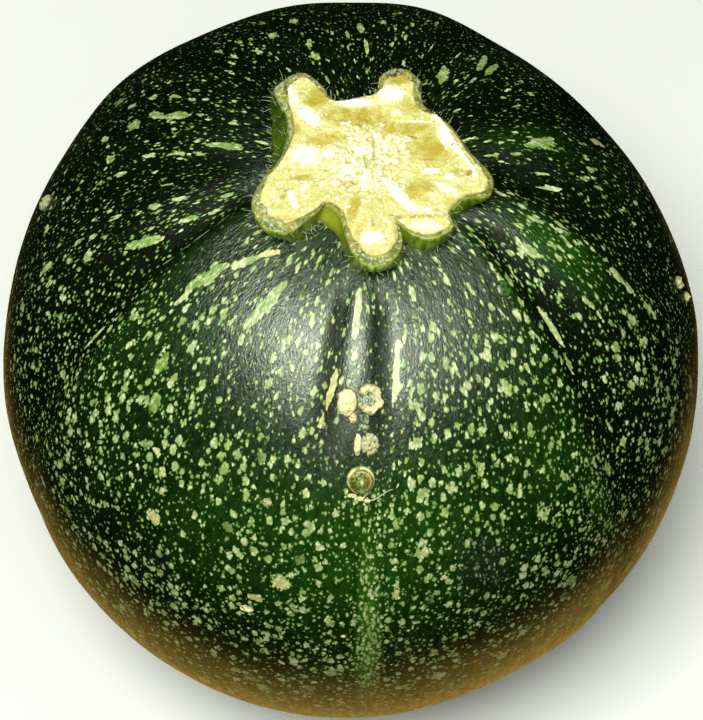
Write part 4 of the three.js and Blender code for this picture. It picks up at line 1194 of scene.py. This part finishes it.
def makeScars():
    callus = corkyCallus()
    for name, (azimuth, arc, halfWidth, halfLength, height, grey, gold, rough) in scabs.items():
        def heightAt(x, y, share):
            dome = np.sqrt(np.maximum(1 - share ** 2, 0)) ** 0.8
            grit = gritAt(x, y, 0.5, 0.22, azimuth, arc)
            return (height + rough * 1.6 * grit) * dome - 0.14
        patch = skinPatch(azimuth, arc, halfWidth, halfLength, heightAt)
        x, y, share = patch[2][:, 0], patch[2][:, 1], patch[3]
        lower = smoothstep(-0.4, 0.9, y / halfLength)
        tone = np.column_stack([np.full(len(x), grey), gold * (0.45 + 0.55 * lower), share])
        placePatch(name, patch, tone, callus)

    # crumbly rings round a grey hollow: the right-hand scar, open on its left, and an old bite
    for name, (azimuth, arc, halfWidth, halfLength, height, opening, ash) in scarRings.items():
        def ringHeight(x, y, share):
            ridge = bellCurve(share - 0.7, 0.26)
            ridge = ridge * (1 - openLeft(x / halfWidth, y / halfLength, opening, 0.45, 0.05))
            grit = gritAt(x, y, 0.42, 0.2, azimuth, arc)
            edge = 0.2 * smoothstep(0.8, 1.0, share)
            return (height + 0.75 * height * grit) * ridge + 0.12 * (1 - share) - edge
        patch = skinPatch(
            azimuth, arc, halfWidth, halfLength, ringHeight, rings=22, sides=66, uneven=0.22)
        x, y, share = patch[2][:, 0], patch[2][:, 1], patch[3]
        leftward = 0.9 * openLeft(x / halfWidth, y / halfLength, opening, 0.4, 0.1)
        grey = np.maximum(np.maximum(0.9 * (1 - smoothstep(0.34, 0.5, share)), leftward), ash)
        placePatch(name, patch, np.column_stack([grey, 0.12 + 0 * x, share]), callus)

    # two sap beads: a small grey one in the ring and a large amber one lower down, each with a painted
    # bright rim and a painted glint
    patch = beadPatch("sap_bead_small", uneven=0)
    share = patch[3]
    ring = bellCurve(share - 0.6, 0.12) * 0.7 + 0.5 * bellCurve(share - 0.92, 0.06)
    tone = np.column_stack([ring, 0 * share, 0.6 * bellCurve(share, 0.25)])
    placePatch("sap_bead_small", patch, tone, hardenedSap("clearSap"))

    patch = beadPatch("sap_bead_large", rings=26, sides=72, uneven=0)
    x, y, share = patch[2][:, 0], patch[2][:, 1], patch[3]
    facing = np.degrees(np.arctan2(-y, x))
    thick = 0.05 + 0.06 * bellCurve(turnBetween(facing, 150), 50)
    thick = thick + 0.04 * bellCurve(turnBetween(facing, 50), 22)
    crackle = np.array([noise.noise((a / 0.7, b / 0.7, 9.0)) for a, b in zip(x, y)])
    # painted highlight: a bright rim, thickest on the upper left, an inner ring and a glint, for light in
    # the clear resin
    rim = bellCurve(share - 0.9, thick) * np.clip(0.8 + 0.9 * crackle, 0, 1)
    innerRing = 0.55 * bellCurve(share - 0.68, 0.05)
    innerRing = innerRing * smoothstep(40, 110, np.abs(turnBetween(facing, 180)))
    amber = 0.6 * np.exp(-((x - 1.1) / 0.6) ** 2 - ((y + 0.2) / 0.9) ** 2)
    glint = 0.9 * np.exp(-((x - 0.1) / 0.22) ** 2 - ((y - 0.05) / 0.42) ** 2)
    tone = np.column_stack([np.maximum(rim, innerRing), amber, glint])
    placePatch("sap_bead_large", patch, tone, hardenedSap("amberSap"))

    # a blister in the skin, green with a rusty foot
    patch = beadPatch("skin_blister", uneven=0.1)
    share = patch[3]
    placePatch("skin_blister", patch, np.column_stack([0 * share, 0 * share, share]), blisteredRind())
    print("scars:", len(scabs) + len(scarRings) + len(beads), "patches")


# where the flower dropped off: a corky button in the foot's hollow
blossomScar = {
    "reach": 4.0,
    "recess": fruit["footHollow"],
    "clearance": 0.35,
    "rings": 16,
    "sides": 64,
    "folds": 5,
}


def makeBlossomScar():
    rings, sides = blossomScar["rings"], blossomScar["sides"]
    share, turn = roundGrid(rings, sides)
    lobed = 1 + 0.06 * np.cos(blossomScar["folds"] * turn) * share
    x = blossomScar["reach"] * share * lobed * np.cos(turn)
    y = blossomScar["reach"] * share * lobed * np.sin(turn)
    grit = gritAt(x, y, 0.9, 0.4, 4.0, 8.0)
    ridge = bellCurve(share - 0.72, 0.18) + 0.5 * bellCurve(share, 0.2)
    drop = (0.35 + 0.55 * ridge + 0.12 * grit) * (1 - smoothstep(0.85, 1.0, share))
    z = np.maximum(blossomScar["recess"] + 0.1 - drop, blossomScar["clearance"])
    points = np.vstack([np.column_stack([x, y, z]), [[0, 0, blossomScar["recess"] + 1.0]]])
    tone = np.column_stack([0.25 + 0 * share, 1.1 - 0.5 * share, share])
    faces = closedFaces(rings, sides, flipped=True)
    patch = ((points * mm).tolist(), faces, points, share)
    placePatch("blossom_scar", patch, np.vstack([tone, tone[-1:]]), bpy.data.materials["corkyCallus"])


def tubeAlong(path, radii, sides=5):
    points, faces = [], []
    for index, place in enumerate(path):
        ahead = (path[min(index + 1, len(path) - 1)] - path[max(index - 1, 0)]).normalized()
        aside = ahead.cross(Vector((0.3, 0.2, 1))).normalized()
        above = aside.cross(ahead)
        for step in range(sides):
            angle = 2 * math.pi * step / sides
            points.append(place + (aside * math.cos(angle) + above * math.sin(angle)) * radii[index])
    for ring in range(len(path) - 1):
        for step in range(sides):
            here, beside = ring * sides + step, ring * sides + (step + 1) % sides
            faces.append((here, here + sides, beside + sides, beside))
    faces.append(tuple(range(sides)))
    faces.append(tuple(reversed(range(len(points) - sides, len(points)))))
    return [tuple(p) for p in points], faces


# plant hair: a fine dry whitish bristle, bright against the dark skin
def dryBristle():
    material, add = startMaterial("dryBristle")
    tint = add("TexNoise", add("TexCoord").outputs["Object"], 900.0)
    color = add("Mix RGBA", tint, "#a9b184", "#eef0dc")
    return finishMaterial(material, add, color, {
        "Roughness": 0.45, "IOR": 1.5, "Specular IOR Level": 0.5})


bristles = {
    "length": 1.3,
    "width": 0.07,
    "perSquareMm": 0.9,
    "shortest": 0.4,
    "longest": 1.3,
    "sway": 0.6,
    "seed": 7,
    "bareRows": 3,  # of the wall's rows, those buried at its root
}


def bristleTree():
    inputs = {"Geometry": "Geometry", "Bristle": "Object", "Per Square Metre": "Float",
              "Shortest": "Float", "Longest": "Float", "Sway": "Float", "Seed": "Int", "Hair": "Material"}
    tree, add, given = startTree("stemBristles", inputs, {"Geometry": "Geometry"})
    seed, sway = given["Seed"], given["Sway"]
    thickness = add("GeometryNodeInputNamedAttribute FLOAT", Name="hairy")
    density = add("Math MULTIPLY", given["Per Square Metre"], thickness)
    roots = add("GeometryNodeDistributePointsOnFaces", given["Geometry"], Density=density, Seed=seed)
    hair = add("GeometryNodeObjectInfo", given["Bristle"]).outputs["Geometry"]
    swayBack = add("Math MULTIPLY", sway, -1.0)
    low = add("CombineXYZ", swayBack, swayBack, -3.1416)
    high = add("CombineXYZ", sway, sway, 3.1416)
    lean = add("FunctionNodeRandomValue FLOAT_VECTOR", low, high, Seed=seed)
    turned = add("FunctionNodeRotateRotation", roots.outputs["Rotation"], lean, rotation_space="LOCAL")
    size = add("FunctionNodeRandomValue FLOAT", given["Shortest"], given["Longest"], Seed=seed)
    placed = add("GeometryNodeInstanceOnPoints", roots, Instance=hair, Rotation=turned, Scale=size)
    real = add("GeometryNodeRealizeInstances", placed)
    add("NodeGroupOutput", add("GeometryNodeSetMaterial", real, Material=given["Hair"]))
    return tree


def makeBristles(hairMaterial):
    # one hair: tapered, three-sided and slightly bent, standing on the origin
    steps = 5
    path, radii = [], []
    for step in range(steps):
        part = step / (steps - 1)
        path.append(Vector((0.22 * part ** 2 * bristles["length"], 0, part * bristles["length"])) * mm)
        radii.append(bristles["width"] / 2 * mm * (1 - 0.75 * part))
    points, faces = tubeAlong(path, radii, sides=3)
    hair = makeObject("oneBristle", points, faces)
    # they grow from a strip of the stem's wall, thickest at its root and round the lobes
    rows, sides = wallRows.shape[:2]
    strip = wallRows.reshape(-1, 3) * mm
    faces = []
    for row in range(rows - bristles["bareRows"]):
        faces += bandFaces(row * sides, sides)
    ground = makeObject("bristleGround", strip.tolist(), faces)
    part = np.repeat(np.arange(rows) / rows, sides)
    turn = np.degrees(np.arctan2(strip[:, 1], strip[:, 0]))
    leftSide = bellCurve(turnBetween(turn, 165), 45)
    hairy = 0.15 + 0.5 * bellCurve(part - 0.05, 0.08) + 0.9 * smoothstep(0.35, 0.75, part)
    hairy = hairy + 0.6 * leftSide
    storeValues(ground, "hairy", hairy)
    values = {"Bristle": hair, "Per Square Metre": bristles["perSquareMm"] * 1e6,
              "Shortest": bristles["shortest"], "Longest": bristles["longest"],
              "Sway": bristles["sway"], "Seed": bristles["seed"], "Hair": hairMaterial}
    piece = growWithNodes(ground, bristleTree(), values, "stem_bristles")
    bpy.data.objects.remove(hair)
    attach(piece, "root")
    print("bristles:", len(piece.data.polygons), "faces")


# a dried hair below the scar: azimuth, arc, height over the skin mm, radius mm
whisker = [
    (2.0, 49.6, 0.2, 0.09), (2.8, 49.4, 0.45, 0.08), (3.6, 49.0, 0.6, 0.07), (4.4, 48.6, 0.65, 0.07),
    (5.2, 48.2, 0.6, 0.06), (6.0, 48.0, 0.45, 0.05), (6.5, 48.0, 0.3, 0.03),
]


def makeWhisker(hairMaterial):
    path = []
    for azimuth, arc, lift, _ in whisker:
        point, normal, _, _ = skinSpot(azimuth, arc)
        path.append(point + normal * lift * mm)
    points, faces = tubeAlong(path, [radius * mm for _, _, _, radius in whisker])
    piece = makeObject("dried_whisker", points, faces, hairMaterial)
    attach(piece, "root")


makeScars()
makeBlossomScar()
hairMaterial = dryBristle()
makeBristles(hairMaterial)
makeWhisker(hairMaterial)


# pale studio paper: matt and even, so the fruit stands on a plain bright ground
def addStage():
    material, add = startMaterial("paleStudioPaper")
    paper = finishMaterial(material, add, "#f2f1ee", {"Roughness": 0.9, "Specular IOR Level": 0.2})
    half = 3.0
    corners = [(-half, -half, 0), (half, -half, 0), (half, half, 0), (-half, half, 0)]
    floor = makeObject("studio_floor", corners, [(0, 1, 2, 3)], paper, smooth=False)
    # the fruit's waxy skin mirrors a dim warm room instead of the bright floor
    floor.visible_glossy = False
    floor.visible_diffuse = False

    world = bpy.data.worlds.new("warmDimRoom")
    bpy.context.scene.world = world
    world.use_nodes = True
    world.node_tree.nodes.clear()
    add = partial(addNode, world.node_tree)
    # a lit wooden table under the fruit, and darkness elsewhere
    direction = add("TexCoord").outputs["Generated"]
    tableward = add("VectorMath DOT_PRODUCT", direction, (0.0, 0.12, -0.993))
    room = add("Mix RGBA", add("MapRange SMOOTHSTEP", tableward, 0.77, 1.0), "#0d0e09", "#e6be5a")
    seen = add("Mix RGBA", add("LightPath").outputs["Is Camera Ray"], room, "#f2f1ee")
    add("OutputWorld", add("Background", seen, 1.0))


studioLights = {
    "overheadSoftbox": {"azimuth": 6, "elevation": 74, "distance": 0.9, "width": 0.98, "power": 5.4,
                        "color": "#f9fff6", "mirrored": True},
    "keyLamp": {"azimuth": -27, "elevation": 70, "distance": 0.7, "width": 0.31, "power": 4.7,
                "color": "#fbfff4", "mirrored": True},
}


def addLights():
    middle = Vector((0, 0, 0.057))
    for name, light in studioLights.items():
        data = bpy.data.lights.new(name, "AREA")
        data.shape = "DISK"
        data.size = light["width"]
        data.energy = light["power"]
        data.color = linearColor(light["color"])[:3]
        lamp = bpy.data.objects.new(name, data)
        turn, tilt = math.radians(light["azimuth"]), math.radians(light["elevation"])
        away = Vector((math.sin(turn) * math.cos(tilt), -math.cos(turn) * math.cos(tilt), math.sin(tilt)))
        lamp.location = middle + away * light["distance"]
        lamp.rotation_mode = "QUATERNION"
        lamp.rotation_quaternion = away.to_track_quat("Z", "Y")
        lamp.visible_glossy = light["mirrored"]
        lamp.visible_camera = False
        bpy.context.collection.objects.link(lamp)


cameraView = {"elevation": 61.0, "distance": 0.380, "lens": 112.8, "middle": (0, 0, 0.057),
              "aside": -0.0024, "lower": 0.00033}


def addCamera():
    data = bpy.data.cameras.new("studioCamera")
    data.lens = cameraView["lens"]
    data.sensor_width = 36.0
    data.clip_start = 0.01
    tilt = math.radians(cameraView["elevation"])
    back = Vector((0, -math.cos(tilt), math.sin(tilt)))
    upward = Vector((0, math.sin(tilt), math.cos(tilt)))
    middle = Vector(cameraView["middle"])
    aim = middle + Vector((cameraView["aside"], 0, 0)) - upward * cameraView["lower"]
    camera = bpy.data.objects.new("studioCamera", data)
    camera.location = middle + back * cameraView["distance"]
    camera.rotation_mode = "QUATERNION"
    camera.rotation_quaternion = (camera.location - aim).to_track_quat("Z", "Y")
    bpy.context.collection.objects.link(camera)
    bpy.context.scene.camera = camera
    bpy.context.scene.view_settings.view_transform = "Standard"


addStage()
addLights()
addCamera()
print("stage, lights and camera are in place")
